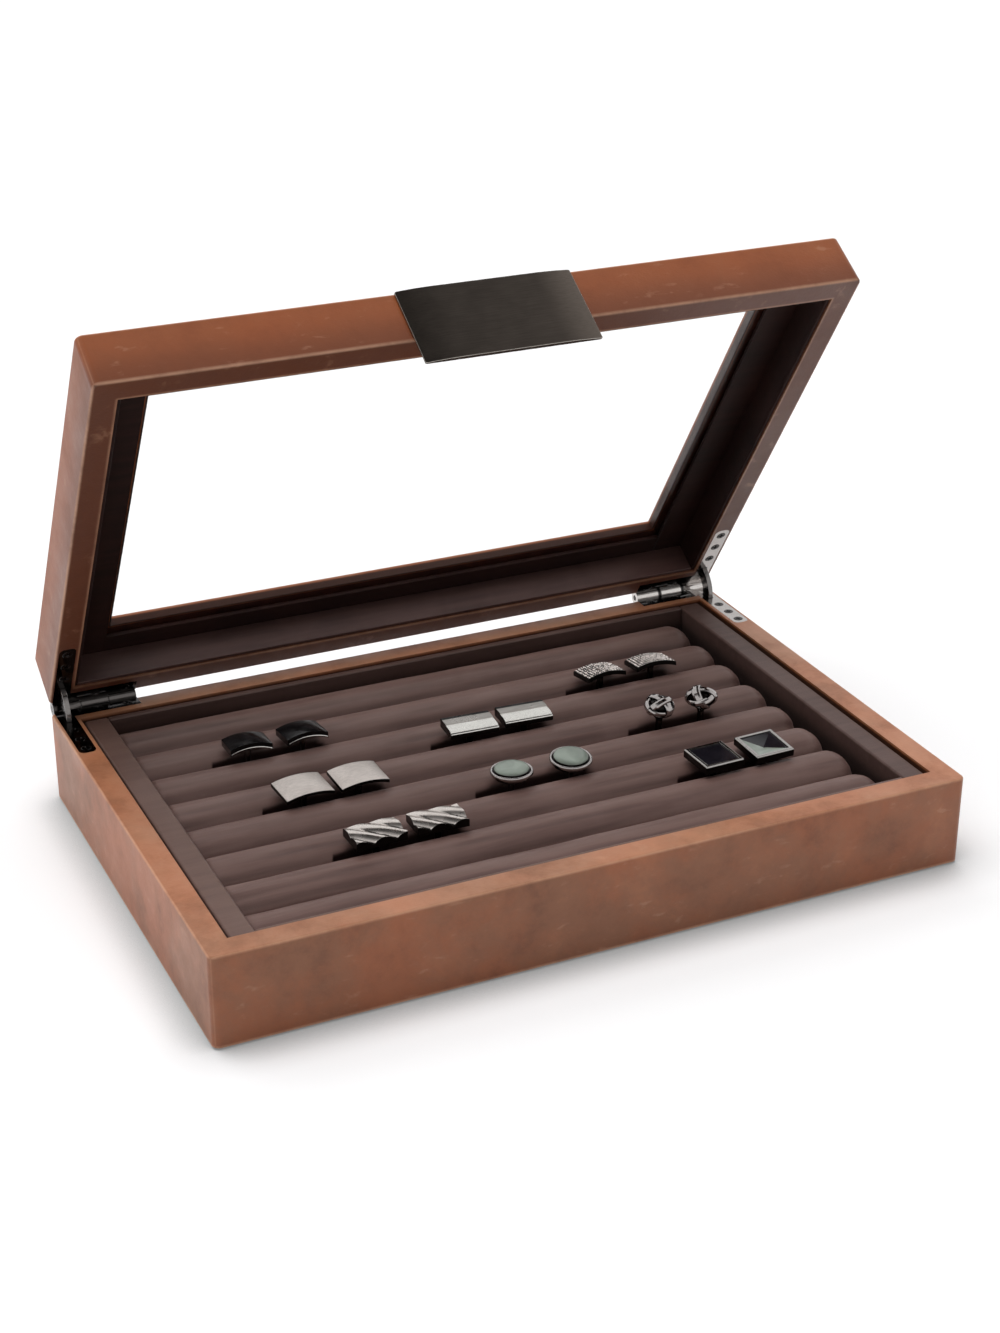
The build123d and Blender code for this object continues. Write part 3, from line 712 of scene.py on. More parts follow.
# geometry nodes: a piece's vertices are points, and a tree sets a shape on each of them
def newPointTree(name, inputs):
    shape = [("Geometry", "Geometry")]
    tree, given, results = newTree(name, "Geometry", shape + inputs, shape)
    points = put(tree, "GeometryNodeMeshToPoints", {"Mesh": given["Geometry"]}).outputs[0]
    return tree, given, points, results


def finishPointTree(tree, instances, given, results):
    real = put(tree, "GeometryNodeRealizeInstances", {"Geometry": instances}).outputs[0]
    finish = {"Geometry": real, "Material": given["Finish"]}
    wire(tree, results, {"Geometry": put(tree, "GeometryNodeSetMaterial", finish).outputs[0]})
    return tree


def randomTurn(tree, given, most):
    return put(tree, "FunctionNodeRandomValue", {
        "Seed": given["Seed"], 0: (0, 0, 0), 1: most,
    }, data_type="FLOAT_VECTOR").outputs[0]


def grow(piece, tree, values):
    modifier = piece.modifiers.new(tree.name, "NODES")
    modifier.node_group = tree
    sockets = {item.name: item.identifier for item in tree.interface.items_tree if item.in_out == "INPUT"}
    for name, value in values.items():
        modifier[sockets[name]] = value
    return settle(piece)


hingeScrew = {
    "radius": 1.86, "dome": 0.11, "depth": 0.9, "sides": 24, "seed": 5,
    "recessArm": 1.15, "recessHalf": 0.27, "recessDepth": 0.45, "recessTaper": 0.8,
}


def screwHead():
    # domed head with a cross recess, its rim level with z = 0
    size = hingeScrew
    radius, dome, arm, half = size["radius"], size["dome"], size["recessArm"], size["recessHalf"]
    bm = bmesh.new()
    # radius and height of each ring, from the shank to the crown
    profile = [
        (radius * 0.55, -size["depth"]), (radius, -0.02),
        (radius * 0.93, dome * 0.45), (radius * 0.76, dome * 0.85),
    ]
    rings = [[dot(bm, r * x, r * y, height) for x, y in circle(size["sides"])] for r, height in profile]
    cross = [
        (arm, -half), (arm, half), (half, half), (half, arm), (-half, arm), (-half, half),
        (-arm, half), (-arm, -half), (-half, -half), (-half, -arm), (half, -arm), (half, -half),
    ]
    mouth = [dot(bm, x, y, dome) for x, y in cross]
    taper, bottom = size["recessTaper"], dome - size["recessDepth"]
    floor = [dot(bm, x * taper, y * taper, bottom) for x, y in cross]
    joinRings(bm, rings)
    joinRings(bm, [floor, mouth])
    bm.faces.new(rings[0][::-1])
    bm.faces.new(floor)
    edges = []
    for loop in (rings[-1], mouth):
        for pair in zip(loop, loop[1:] + loop[:1]):
            edges.append(bm.edges.get(pair) or bm.edges.new(pair))
    bmesh.ops.bridge_loops(bm, edges=edges)
    bmesh.ops.recalc_face_normals(bm, faces=bm.faces)
    mesh = bpy.data.meshes.new("screwHead")
    bm.to_mesh(mesh)
    bm.free()
    return bpy.data.objects.new("screwHead", mesh)


def screwTree():
    tree, given, points, results = newPointTree("screwSet", [
        ("Head", "Object"), ("Up", "Vector"), ("Size", "Float"), ("Seed", "Int"), ("Finish", "Material"),
    ])
    head = put(tree, "GeometryNodeObjectInfo", {"Object": given["Head"]})
    facing = put(tree, "FunctionNodeAlignRotationToVector", {"Vector": given["Up"]}, axis="Z")
    placed = put(tree, "GeometryNodeInstanceOnPoints", {
        "Points": points, "Instance": head.outputs["Geometry"],
        "Rotation": facing.outputs[0], "Scale": given["Size"],
    })
    spun = put(tree, "GeometryNodeRotateInstances", {
        "Instances": placed.outputs[0], "Rotation": randomTurn(tree, given, (0, 0, 1.57)),
    })
    return finishPointTree(tree, spun.outputs[0], given, results)


def screwPlaces(node, matrix, up):
    # middle of each head's flat top, found from the loose solids of the CAD node, in the order of its mesh
    bm = mergedCopy(node)
    bm.transform(matrix)
    left = set(bm.verts)
    places = []
    for first in bm.verts:
        if first not in left:
            continue
        left.discard(first)
        group = [first]
        for vert in group:
            for edge in vert.link_edges:
                other = edge.other_vert(vert)
                if other in left:
                    left.discard(other)
                    group.append(other)
        top = max(v.co.z * up for v in group) * up
        middle = [(min(v.co[k] for v in group) + max(v.co[k] for v in group)) / 2 for k in (0, 1)]
        places.append(matrix.inverted() @ Vector((*middle, top)))
    bm.free()
    return places


headShape = screwHead()
screwSet = screwTree()
for body, matrix, up in (("base", Matrix.Identity(4), 1), ("lid", lidClosed, -1)):
    node = f"{body}_hinge_screws"
    bm = bmesh.new()
    for place in screwPlaces(node, matrix, up):
        bm.verts.new(place)
    screws = newPiece(f"{body}Screws", bm, "screwNickel")
    grow(screws, screwSet, {
        "Head": headShape, "Up": matrix.inverted().to_3x3() @ Vector((0, 0, up)), "Size": 1.0,
        "Seed": hingeScrew["seed"], "Finish": looks["screwNickel"],
    })
    adopt(screws, body, "hinge_metal", node)
bpy.data.objects.remove(headShape)
print("hinge screws made")


def addSlab(bm, length, depth, top, bottom, across, deep, looksUsed=(0, 0, 0)):
    # closed slab, its top and bottom following the given heights over x and y
    # looksUsed numbers the looks of the top, the sides and the underside
    def grid(heights):
        columns = [-length / 2 + length * i / across for i in range(across + 1)]
        rows = [-depth / 2 + depth * j / deep for j in range(deep + 1)]
        return [[dot(bm, x, y, heights(x, y)) for y in rows] for x in columns]

    under = grid(bottom)
    over = grid(top)
    for i in range(across):
        for j in range(deep):
            upper = bm.faces.new((over[i][j], over[i + 1][j], over[i + 1][j + 1], over[i][j + 1]))
            upper.material_index = looksUsed[0]
            lower = bm.faces.new((under[i][j], under[i][j + 1], under[i + 1][j + 1], under[i + 1][j]))
            lower.material_index = looksUsed[2]
    rim = [(i, 0) for i in range(across)] + [(across, j) for j in range(deep)]
    rim += [(i, deep) for i in range(across, 0, -1)] + [(0, j) for j in range(deep, 0, -1)]
    for (i, j), (k, n) in zip(rim, rim[1:] + rim[:1]):
        bm.faces.new((under[i][j], under[k][n], over[k][n], over[i][j])).material_index = looksUsed[1]


frontPlate = {
    "thickness": 1.7, "overhang": 10.5, "relief": 0.3, "fall": 0.75, "reach": 14.0,
    "edge": 0.38, "corner": 1.0,
}


def makePlate():
    # flat in the middle and rolled down a little towards both ends
    size = frontPlate
    low, high = (corner / mm for corner in closedBox("lid_front_plate"))
    width, height = high.x - low.x, high.z - low.z

    def over(x, y):
        near = max((abs(x) - width / 2 + size["reach"]) / size["reach"], 0.0)
        return size["thickness"] - size["fall"] * near ** 2

    def under(x, y):
        # stands clear of the base where it hangs below the lid
        return size["relief"] * smooth(size["overhang"] + 0.6 - y - height / 2)

    def isCorner(point):
        return abs(abs(point.x) - width / 2 * mm) < 1e-6 and abs(abs(point.y) - height / 2 * mm) < 1e-6

    bm = bmesh.new()
    addSlab(bm, width, height, over, under, 60, 62)
    corners = [edge for edge in bm.edges if all(isCorner(v.co) for v in edge.verts)]
    bmesh.ops.bevel(bm, geom=corners, offset=size["corner"] * mm, segments=4, profile=0.5, affect="EDGES")
    # from lying flat to standing on the lid's front
    upright = shiftBy(0, low.y + size["thickness"], (low.z + high.z) / 2) @ Matrix((
        (1, 0, 0, 0), (0, 0, -1, 0), (0, 1, 0, 0), (0, 0, 0, 1),
    ))
    bm.transform(lidOpened @ upright)
    plate = newPiece("frontPlate", bm, "brushedPlate", "plateEdge")
    softenEdges(plate, size["edge"], edgeSlot=1)
    adopt(plate, "lid", "gunmetal", "lid_front_plate")


makePlate()
print("plate made")


# padded rolls, each a stuffed sleeve pressed in between its neighbours
paddedRoll = {
    "count": 8,
    "ringStep": 2.0,
    "around": 28,
    "footRadius": 2.5,
    "leftEnd": 2.6,
    "rightEnd": 8.0,
    "leftReach": 2.7,
    "endRings": (0.0, 0.15, 0.6, 1.3, 2.2, 3.3, 4.6, 6.1, 7.7, 9.4),
    "fullness": 2.25,
    "slitHalf": 3.3,
    "slitFoot": 14.6,
    "slitLead": 6.3,
    "slitTail": 3.0,
    "slitRings": (-0.4, 0.0, 0.3, 0.6, 0.9, 1.2, 1.6),
    "middleHeight": 20,
    "ripple": 0.2,
    "rippleLength": 26,
    "gather": 0.55,
    "gatherReach": 14,
    "creaseDepth": 0.3,
    "creaseWidth": 6.5,
    "creaseDrift": 9,
    "creaseAngles": (38, 68, 128),
    "grooveShade": 0.62,
    "creaseShade": 0.34,
    "tuckShade": 0.8,
    "endShade": 0.9,
    "fill": 0.85,
}
# pairs pressed between the rolls: groove, middles of the two faces, their turns, face length
pairPlaces = {
    "black": (6, (-81.2, -60.0), (-3.0, 1.0), 15.2),
    "mesh": (6, (62.6, 84.7), (3.0, -2.0), 16.4),
    "bar": (5, (-1.6, 20.5), (-3.0, -3.5), 19.0),
    "plain": (4, (-74.7, -53.9), (3.5, 1.5), 18.2),
    "knot": (4, (66.9, 84.7), (0.0, 2.0), 12.6),
    "disc": (3, (-3.3, 20.0), (0.0, 0.0), 15.6),
    "twist": (2, (-63.6, -40.6), (2.0, -2.5), 18.8),
    "square": (2, (67.5, 88.3), (2.0, 2.0), 15.8),
}
rollBoxes = [[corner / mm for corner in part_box(f"roll_{n + 1}")] for n in range(paddedRoll["count"])]
grooveLines = [(near[1].y + far[0].y) / 2 for near, far in zip(rollBoxes, rollBoxes[1:])]


def slitSpans(*grooves):
    # start and end of each slit in the given grooves
    lead, tail = paddedRoll["slitLead"], paddedRoll["slitTail"]
    for groove, middles, _, length in pairPlaces.values():
        if groove in grooves:
            yield middles[0] - length / 2 - lead, middles[1] + length / 2 + tail


def slitDepth(groove, x):
    # how far a pair presses the rolls apart at x, sharp at the left end and soft at the right
    depth = 0.0
    for start, end in slitSpans(groove):
        window = smooth((x - start) / 1.2) * smooth((end - x) / 4.5)
        depth = max(depth, window * (0.72 + 0.28 * smooth((x - start) / 12)))
    return depth * paddedRoll["slitHalf"]


def rollSection(width, low, high, foot):
    # half circle on straight sides, with rounded feet; starts at the middle of the bottom
    springLine = max(high - width, low + foot)
    side = [(0.0, low), (-(width - foot) * 0.55, low)]
    for k in range(5):
        a = math.radians(90 * k / 4)
        side.append((-(width - foot) - foot * math.sin(a), low + foot - foot * math.cos(a)))
    side += [(-width, low + foot + (springLine - low - foot) * k / 4) for k in (1, 2, 3)]
    power = 2 / paddedRoll["fullness"]
    arc = []
    for k in range(paddedRoll["around"] + 1):
        a = math.pi * k / paddedRoll["around"]
        flank = math.copysign(abs(math.cos(a)) ** power, math.cos(a))
        arc.append((-width * flank, springLine + (high - springLine) * abs(math.sin(a)) ** power))
    return side + arc + [(-y, z) for y, z in side[:0:-1]]


def rollStations(low, high, number):
    # where the rings stand: close together at the ends and where a slit starts
    near = paddedRoll["endRings"]
    length = high.x - low.x
    steps = int(length / paddedRoll["ringStep"])
    stations = [low.x + e for e in near] + [high.x - e for e in near]
    stations += [low.x + near[-1] + (length - 2 * near[-1]) * k / steps for k in range(1, steps)]
    for start, _ in slitSpans(number - 1, number):
        stations += [start + d for d in paddedRoll["slitRings"]]
    spaced = []
    for x in sorted(stations):
        if not spaced or x - spaced[-1] > 0.14:
            spaced.append(x)
    return spaced


def creasing(number, x, facing):
    # long soft creases where the sleeve is pulled over its stuffing
    drawn = 0.0
    for line, angle in enumerate(paddedRoll["creaseAngles"]):
        drift = paddedRoll["creaseDrift"] * noise.noise(Vector((x / 55, number * 2.3, line * 7.7)))
        strength = smooth(0.55 + 1.3 * noise.noise(Vector((x / 34, number * 5.1, line * 3.9 + 20))))
        drawn += strength * math.exp(-((facing - angle - drift) / paddedRoll["creaseWidth"]) ** 2)
    return drawn


def makeRoll(number):
    size = paddedRoll
    low, high = (corner.copy() for corner in rollBoxes[number - 1])
    low.x -= size["leftReach"]
    middle = (low.y + high.y) / 2
    bm = bmesh.new()
    fold = bm.verts.layers.float.new("fold")
    rings = []
    for x in rollStations(low, high, number):
        fromEnd = min(x - low.x, high.x - x)
        ending = size["leftEnd"] if x < 0 else size["rightEnd"]
        lost = ending - math.sqrt(ending ** 2 - max(ending - fromEnd, 0) ** 2)
        width, bottom, top = (high.y - low.y) / 2 - lost, low.z + lost, high.z - lost
        gathers = size["gather"] * math.exp(-fromEnd / size["gatherReach"]) * min(fromEnd / 3, 1.0)
        # painted shade at the tucked right end
        tuck = smooth((1.5 - (high.x - x)) / 1.5) * size["tuckShade"] if x > 0 else 0.0
        ring = []
        for y, z in rollSection(width, bottom, top, min(size["footRadius"], 0.6 * width)):
            raised = smooth((z - bottom - 6) / 8)
            level = z - size["middleHeight"]
            along = x / size["rippleLength"] + 3.7 * number
            swell = noise.noise(Vector((along, y / 9, z / 9))) * size["ripple"]
            crease = noise.noise(Vector((x / 60, 40 * number + math.atan2(level, y) * 3.1, 0))) * gathers
            drawn = creasing(number, x, math.degrees(math.atan2(z - (top - width), -y))) * raised
            inward = min(swell + crease, 0.0) * 1.6 * raised - size["creaseDepth"] * drawn
            dy = y * (1 + inward / 9.8)
            dz = z + inward * max(level / 10, 0)
            # painted shade: darker low in the groove and along the creases
            between = smooth((top - z - 3.6) / 8.0) * size["grooveShade"]
            sunk = max(between, size["creaseShade"] * drawn, tuck)
            for groove, sign in ((number - 1, -1), (number, 1)):
                press = slitDepth(groove, x)
                if press > 0:
                    limit = abs(grooveLines[groove - 1] - middle) - press
                    if dy * sign > limit:
                        share = smooth((z - size["slitFoot"]) / 3.0)
                        dy = sign * (limit + (dy * sign - limit) * (1 - share))
                        # painted shade inside the slit
                        sunk = max(sunk, smooth(press / 2.0) * smooth((top - z - 0.8) / 3.5))
            vert = dot(bm, x, middle + dy, dz)
            vert[fold] = sunk
            ring.append(vert)
        rings.append(ring)
    joinRings(bm, rings)
    for ring in (rings[0], rings[-1]):
        centre = sum((v.co for v in ring), Vector()) / len(ring)
        inner = [bm.verts.new(centre + (v.co - centre) * 0.5) for v in ring]
        hub = bm.verts.new(centre)
        # painted shade on the end caps
        for vert in (*inner, hub):
            vert[fold] = size["endShade"]
        joinRings(bm, [ring, inner])
        for pair in zip(inner, inner[1:] + inner[:1]):
            bm.faces.new((*pair, hub))
    bmesh.ops.recalc_face_normals(bm, faces=bm.faces)
    piece = newPiece(f"paddedRoll{number}", bm, "rollCloth")
    piece.data.shade_smooth()
    adopt(piece, "base", "roll_cover", f"roll_{number}")


for number in range(1, paddedRoll["count"] + 1):
    makeRoll(number)
print("padded rolls made:", paddedRoll["count"])


# cufflinks: each built round its post, then turned and moved to its place in the groove
cufflinkBack = {
    "faceBase": 31.1,
    "barLevel": 17.1,
    "barLength": 14.0,
    "barRadius": 2.3,
    "postRadius": 1.25,
    "sides": 28,
}
faceBase = cufflinkBack["faceBase"]
# how far each pair of faces stands up out of the rolls, and how it leans back, in degrees
faceStance = {
    "black": (1.0, (7.0, 6.0)), "mesh": (1.1, (8.0, 9.0)),
    "bar": (0.8, (0.0, 1.0)), "plain": (1.6, (-2.0, -2.0)),
    "knot": (0.6, (0.0, 0.0)), "disc": (0.3, (2.0, -4.0)),
    "twist": (0.7, (0.0, 2.0)), "square": (0.9, (0.0, -3.0)),
}


def lathe(bm, profile, sides, lookIndex=0, turn=Matrix.Identity(4)):
    # profile of (radius, height) from the lower pole to the upper one
    rings = []
    for radius, height in profile:
        around = circle(sides) if radius > 1e-6 else [(0, 0)]
        points = [Vector((radius * x, radius * y, height)) * mm for x, y in around]
        rings.append([bm.verts.new(turn @ point) for point in points])
    for low, high in zip(rings, rings[1:]):
        if len(low) == len(high):
            faces = joinRings(bm, [low, high])
        elif len(low) == 1:
            faces = [bm.faces.new((low[0], high[(k + 1) % sides], high[k])) for k in range(sides)]
        else:
            faces = [bm.faces.new((low[k], low[(k + 1) % sides], high[0])) for k in range(sides)]
        for face in faces:
            face.material_index = lookIndex
            face.smooth = True


def addBack(bm, faceUnder, lookIndex):
    # post with a flared root, and the closing bar that lies along the groove
    size = cufflinkBack
    radius, level, sides = size["postRadius"], size["barLevel"], size["sides"]
    post = [
        (0, level), (radius, level), (radius, faceUnder - 2.4), (radius * 1.15, faceUnder - 1.4),
        (radius * 1.6, faceUnder - 0.5), (radius * 2.1, faceUnder), (radius * 2.1, faceUnder + 0.5),
        (0, faceUnder + 0.5),
    ]
    lathe(bm, post, sides, lookIndex)
    # radius as a share of the bar's, and distance from its end
    tip = [(0, 0), (0.45, 0.12), (0.78, 0.6), (0.95, 1.4), (1, 2.4)]
    half = size["barLength"] / 2
    bullet = [(size["barRadius"] * share, -half + e) for share, e in tip]
    bullet += [(size["barRadius"], -1.2), (size["barRadius"] * 0.86, -0.9)]
    bullet += [(radius, -height) for radius, height in bullet[::-1]]
    lathe(bm, bullet, sides, lookIndex, shiftBy(0, 0, level) @ spinAbout("Y", 90))


def stand(bm, name, member):
    # lift and lean a finished face before its post is added
    rise, leans = faceStance[name]
    foot = shiftBy(0, 0, faceBase)
    bm.transform(shiftBy(0, 0, rise) @ foot @ spinAbout("X", -leans[member]) @ foot.inverted())


def memberPlace(name, member):
    groove, middles, turns, _ = pairPlaces[name]
    return shiftBy(middles[member], grooveLines[groove - 1], 0) @ spinAbout("Z", turns[member])


def makeCufflink(name, member, size, addFace):
    side = ("left", "right")[member]
    bm = bmesh.new()
    addFace(bm, size, member)
    stand(bm, name, member)
    addBack(bm, faceBase + faceStance[name][0] + size["postInto"], size["backLook"])
    piece = newPiece(f"{name}Cufflink{side.capitalize()}", bm, *size["looks"])
    piece.data.transform(memberPlace(name, member))
    if size["edge"] > 0:
        softenEdges(piece, size["edge"], angle=size["edgeAngle"])
    adopt(piece, f"{name}_cufflink_{side}", size["slot"], f"{name}_cufflink_{side}")


# in these, "painted" numbers the looks of the top, the sides and the underside
bowedFaces = {
    "black": {
        "length": 15.8, "depth": 12.6, "thickness": 2.4, "bow": 1.7, "crown": 0.25, "lip": 0.3,
        "edge": 0.35, "edgeAngle": 32, "postInto": 1.7, "slot": "black_enamel",
        "looks": ("blackEnamel", "brightSilver", "darkSteel"), "painted": (0, 0, 2), "backLook": 1,
    },
    "plain": {
        "length": 18.2, "depth": 14.4, "thickness": 1.5, "bow": 1.6, "crown": 0.3,
        "edge": 0.3, "edgeAngle": 32, "postInto": 1.6, "slot": "brushed_silver",
        "looks": ("satinSilver", "smokyChrome", "darkSteel"), "painted": (0, 2, 2), "backLook": 1,
    },
    "mesh": {
        "length": 16.8, "depth": 12.0, "thickness": 1.7, "bow": 1.5, "crown": 0.0,
        "edge": 0.2, "edgeAngle": 32, "postInto": 1.5, "slot": "textured_silver",
        "looks": ("studSilver", "smokyChrome", "darkSteel"), "painted": (2, 2, 2), "backLook": 1,
    },
}


def bowedUnder(size, x):
    # arc of a circle through both ends and the middle
    half = size["length"] / 2
    radius = (half ** 2 + size["bow"] ** 2) / (2 * size["bow"])
    return faceBase + math.sqrt(max(radius ** 2 - x ** 2, 0)) - radius + size["bow"]


def addBowed(bm, size, member):
    half = size["length"] / 2

    def under(x, y):
        return bowedUnder(size, x)

    def over(x, y):
        fallen = size["crown"] * (2 * y / size["depth"]) ** 2 * (1 - (x / half) ** 2)
        return under(x, y) + size["thickness"] - fallen

    addSlab(bm, size["length"], size["depth"], over, under, 26, 12, size["painted"])
    if "lip" in size:
        addLip(bm, size, half - 0.3)


def addLip(bm, size, half, steps=24):
    # thin wire along the lower front edge of a bowed face
    rings = []
    for i in range(steps + 1):
        x = -half + 2 * half * i / steps
        taper = size["lip"] * (0.45 + 0.55 * smooth((x + half) / (1.3 * half)))
        y, z = -size["depth"] / 2, bowedUnder(size, x) + 0.5
        rings.append([dot(bm, x, y + across * taper, z + up * taper) for across, up in circle(8)])
    # backwards, so that its faces point outwards
    faces = joinRings(bm, [ring[::-1] for ring in rings])
    faces += [bm.faces.new(rings[0]), bm.faces.new(rings[-1][::-1])]
    for face in faces:
        face.material_index = 1


meshStud = {
    "pitch": 1.14, "radius": 0.5, "margin": 0.52, "sink": 0.12, "turn": 3.1, "unevenness": 0.24, "seed": 11,
}


def studTree():
    # small faceted studs on every point, a little uneven in size and turn
    tree, given, points, results = newPointTree("studSet", [
        ("Radius", "Float"), ("Unevenness", "Float"), ("Turn", "Float"),
        ("Seed", "Int"), ("Finish", "Material"),
    ])
    stud = put(tree, "GeometryNodeMeshIcoSphere", {"Radius": given["Radius"], "Subdivisions": 1})
    scale = put(tree, "FunctionNodeRandomValue", {
        "Seed": given["Seed"],
        2: calc(tree, "SUBTRACT", 1.0, given["Unevenness"]), 3: calc(tree, "ADD", 1.0, given["Unevenness"]),
    }, data_type="FLOAT")
    most = put(tree, "CombineXYZ", {axis: given["Turn"] for axis in range(3)}).outputs[0]
    placed = put(tree, "GeometryNodeInstanceOnPoints", {
        "Points": points, "Instance": stud.outputs[0],
        "Scale": scale.outputs[1], "Rotation": randomTurn(tree, given, most),
    })
    return finishPointTree(tree, placed.outputs[0], given, results)


studSet = studTree()


def addStuds(member):
    size, stud = bowedFaces["mesh"], meshStud
    across, deep = (int((size[side] - 2 * stud["margin"]) / stud["pitch"]) for side in ("length", "depth"))
    bm = bmesh.new()
    for i in range(across + 1):
        x = (i - across / 2) * stud["pitch"]
        for j in range(deep + 1):
            dot(bm, x, (j - deep / 2) * stud["pitch"], bowedUnder(size, x) + size["thickness"] - stud["sink"])
    stand(bm, "mesh", member)
    bm.transform(memberPlace("mesh", member))
    side = ("left", "right")[member]
    studs = newPiece(f"meshStuds{side.capitalize()}", bm, "studSilver")
    grow(studs, studSet, {
        "Radius": stud["radius"] * mm, "Unevenness": stud["unevenness"], "Turn": stud["turn"],
        "Seed": stud["seed"] + member, "Finish": looks["studSilver"],
    })
    adopt(studs, f"mesh_cufflink_{side}", "textured_silver")


for member in (0, 1):
    for name, size in bowedFaces.items():
        makeCufflink(name, member, size, addBowed)
    addStuds(member)

steppedBar = {
    "length": 19.0, "depth": 11.6, "flatFrom": 0.4, "backHeight": 3.5, "frontHeight": 3.15, "roundness": 1.7,
    "backRim": 1.75, "edge": 0.35, "edgeAngle": 50, "postInto": 0, "slot": "polished_silver",
    "looks": ("barSatin", "brightSilver", "darkSteel"), "backLook": 2,
}


def addSteppedBar(bm, size, member):
    # flat satin back part and a rounded bright front part, one small step between them
    half, flatFrom = size["depth"] / 2, size["flatFrom"]

    def over(x, y):
        step = smooth((y - flatFrom + 0.35) / 0.7)
        height = size["frontHeight"] + (size["backHeight"] - size["frontHeight"]) * step
        front = min(max((flatFrom - 0.6 - y) / (half + flatFrom - 0.6), 0.0), 1.0)
        return faceBase + height - size["roundness"] * (1 - math.sqrt(1 - (0.98 * front) ** 2.4))

    addSlab(bm, size["length"], size["depth"], over, lambda x, y: faceBase, 18, 34, (0, 2, 2))
    for face in bm.faces:
        y = face.calc_center_median().y / mm
        if face.material_index == 0 and y < flatFrom - 0.3:
            face.material_index = 1
        elif y > half - size["backRim"]:
            face.material_index = 2


discFace = {
    "radius": 7.8, "foot": 4.2, "cup": 2.3, "ring": 1.15, "inlay": 6.3, "step": 1.15, "sides": 72,
    "edge": 0, "postInto": 0, "slot": "polished_silver",
    "looks": ("knotChrome", "brightSilver", "greyInlay", "darkSteel"), "backLook": 1,
}


def addDisc(bm, size, member):
    # polished cup and ring, a shadow step and the domed inlay on top
    rim, foot = faceBase + size["cup"], size["foot"]
    outer, inner = size["radius"], size["radius"] - size["ring"]
    inlay, step = size["inlay"], size["step"]
    seat = (inlay, rim + 1.1 + step * 0.4)
    cup = [(0, faceBase), (foot, faceBase), (foot + 0.8, faceBase + 0.35), (outer - 0.9, rim - 1.2)]
    cup.append((outer - 0.35, rim - 0.35))
    ring = [
        (outer - 0.35, rim - 0.35), (outer, rim + 0.1), (outer, rim + 0.75), (outer - 0.2, rim + 1.15),
        (outer - 0.5, rim + 1.25), (inner + 0.1, rim + 1.1), (inner, rim + 0.8),
    ]
    shadow = [(inner, rim + 0.8), (inlay + 0.05, rim + 0.65), (inlay, rim + 0.9), seat]
    dome = [
        seat, (inlay - 0.2, rim + 1.1 + step * 0.7), (inlay - 0.7, rim + 1.1 + step),
        (inlay * 0.6, rim + 1.2 + step), (0, rim + 1.25 + step),
    ]
    for profile, lookIndex in ((cup, 0), (ring, 0), (shadow, 3), (dome, 2)):
        lathe(bm, profile, size["sides"], lookIndex)
    bmesh.ops.remove_doubles(bm, verts=bm.verts, dist=1e-7)


twistBar = {
    "length": 18.8, "depth": 12.0, "height": 3.6, "lobePitch": 8.4, "slant": 48.0, "valley": 2.0,
    "shifts": (1.6, 3.4), "blackened": 0.3, "edge": 0.4, "edgeAngle": 55, "postInto": 0,
    "slot": "polished_silver", "looks": ("twistSilver", "darkSteel"), "backLook": 1,
}


def addTwist(bm, size, member):
    slope = math.tan(math.radians(size["slant"]))
    depth = size["depth"]

    def lobeAt(x, y):
        # 0 in a valley, 1 on a crest, and how far towards the front
        along = (x + y * slope + size["shifts"][member]) / size["lobePitch"]
        return abs(math.sin(math.pi * along)) ** 0.8, smooth((0.32 * depth - y) / (0.6 * depth))

    def over(x, y):
        lobe, front = lobeAt(x, y)
        bulge = 0.5 * (1 - (2 * y / depth) ** 2)
        return faceBase + size["height"] - 0.35 + bulge - size["valley"] * (1 - lobe) * (0.3 + 0.7 * front)

    addSlab(bm, size["length"], depth, over, lambda x, y: faceBase, 110, 40, (0, 1, 1))
    # dark steel on the valley faces, more of them towards the front
    for face in bm.faces:
        if face.material_index == 0:
            middle = face.calc_center_median() / mm
            lobe, front = lobeAt(middle.x, middle.y)
            if lobe < size["blackened"] * front:
                face.material_index = 1


squareFace = {
    "side": 15.8, "height": 3.2, "border": 1.65, "web": 1.2, "point": 0.6, "sunk": 0.45,
    "edge": 0.25, "edgeAngle": 28, "postInto": 0, "slot": "dark_chrome",
    "looks": ("frameChrome", "onyx", "darkSteel", "greyInlay"), "backLook": 2,
}


def addSquare(bm, size, member):
    # flat onyx in the left one, four facets that slope to a point in the right one
    top, half = faceBase + size["height"], size["side"] / 2
    inset = half - size["border"]
    levels = [
        (half, faceBase), (half, top - 0.5), (half - 0.35, top), (inset + 0.15, top - 0.1),
        (inset, top - size["sunk"]),
    ]
    if member == 1:
        levels.append((size["point"] / 2, faceBase + size["web"]))
    corners = [(-1, -1), (1, -1), (1, 1), (-1, 1)]
    rings = [[dot(bm, x * h, y * h, z) for x, y in corners] for h, z in levels]
    # looks of the wall, the border, its lip and the four facets; the front and left facets get grey inlay as
    # a painted reflection on the onyx
    painted = [2] * 4 + [0] * 8 + [2] * 4 + [3, 1, 1, 3]
    for face, lookIndex in zip(joinRings(bm, rings), painted):
        face.material_index = lookIndex
    bm.faces.new(rings[0][::-1]).material_index = 2
    bm.faces.new(rings[-1]).material_index = 1


wovenKnot = {
    "radius": 6.5, "halfHeight": 4.6, "bandWidth": 3.3, "bandThickness": 1.5, "weave": 0.9, "core": 4.3,
    "steps": 96, "spins": ((20, 30), (55, -24)), "edge": 0, "postInto": 1.0, "slot": "dark_chrome",
    "looks": ("knotChrome", "darkSteel", "smokyChrome"), "backLook": 2,
    # half a ribbon's section: place across it, and level from its back to its face
    "section": ((0.5, 0.0), (0.5, 0.55), (0.4, 0.82), (0.2, 0.97)),
}


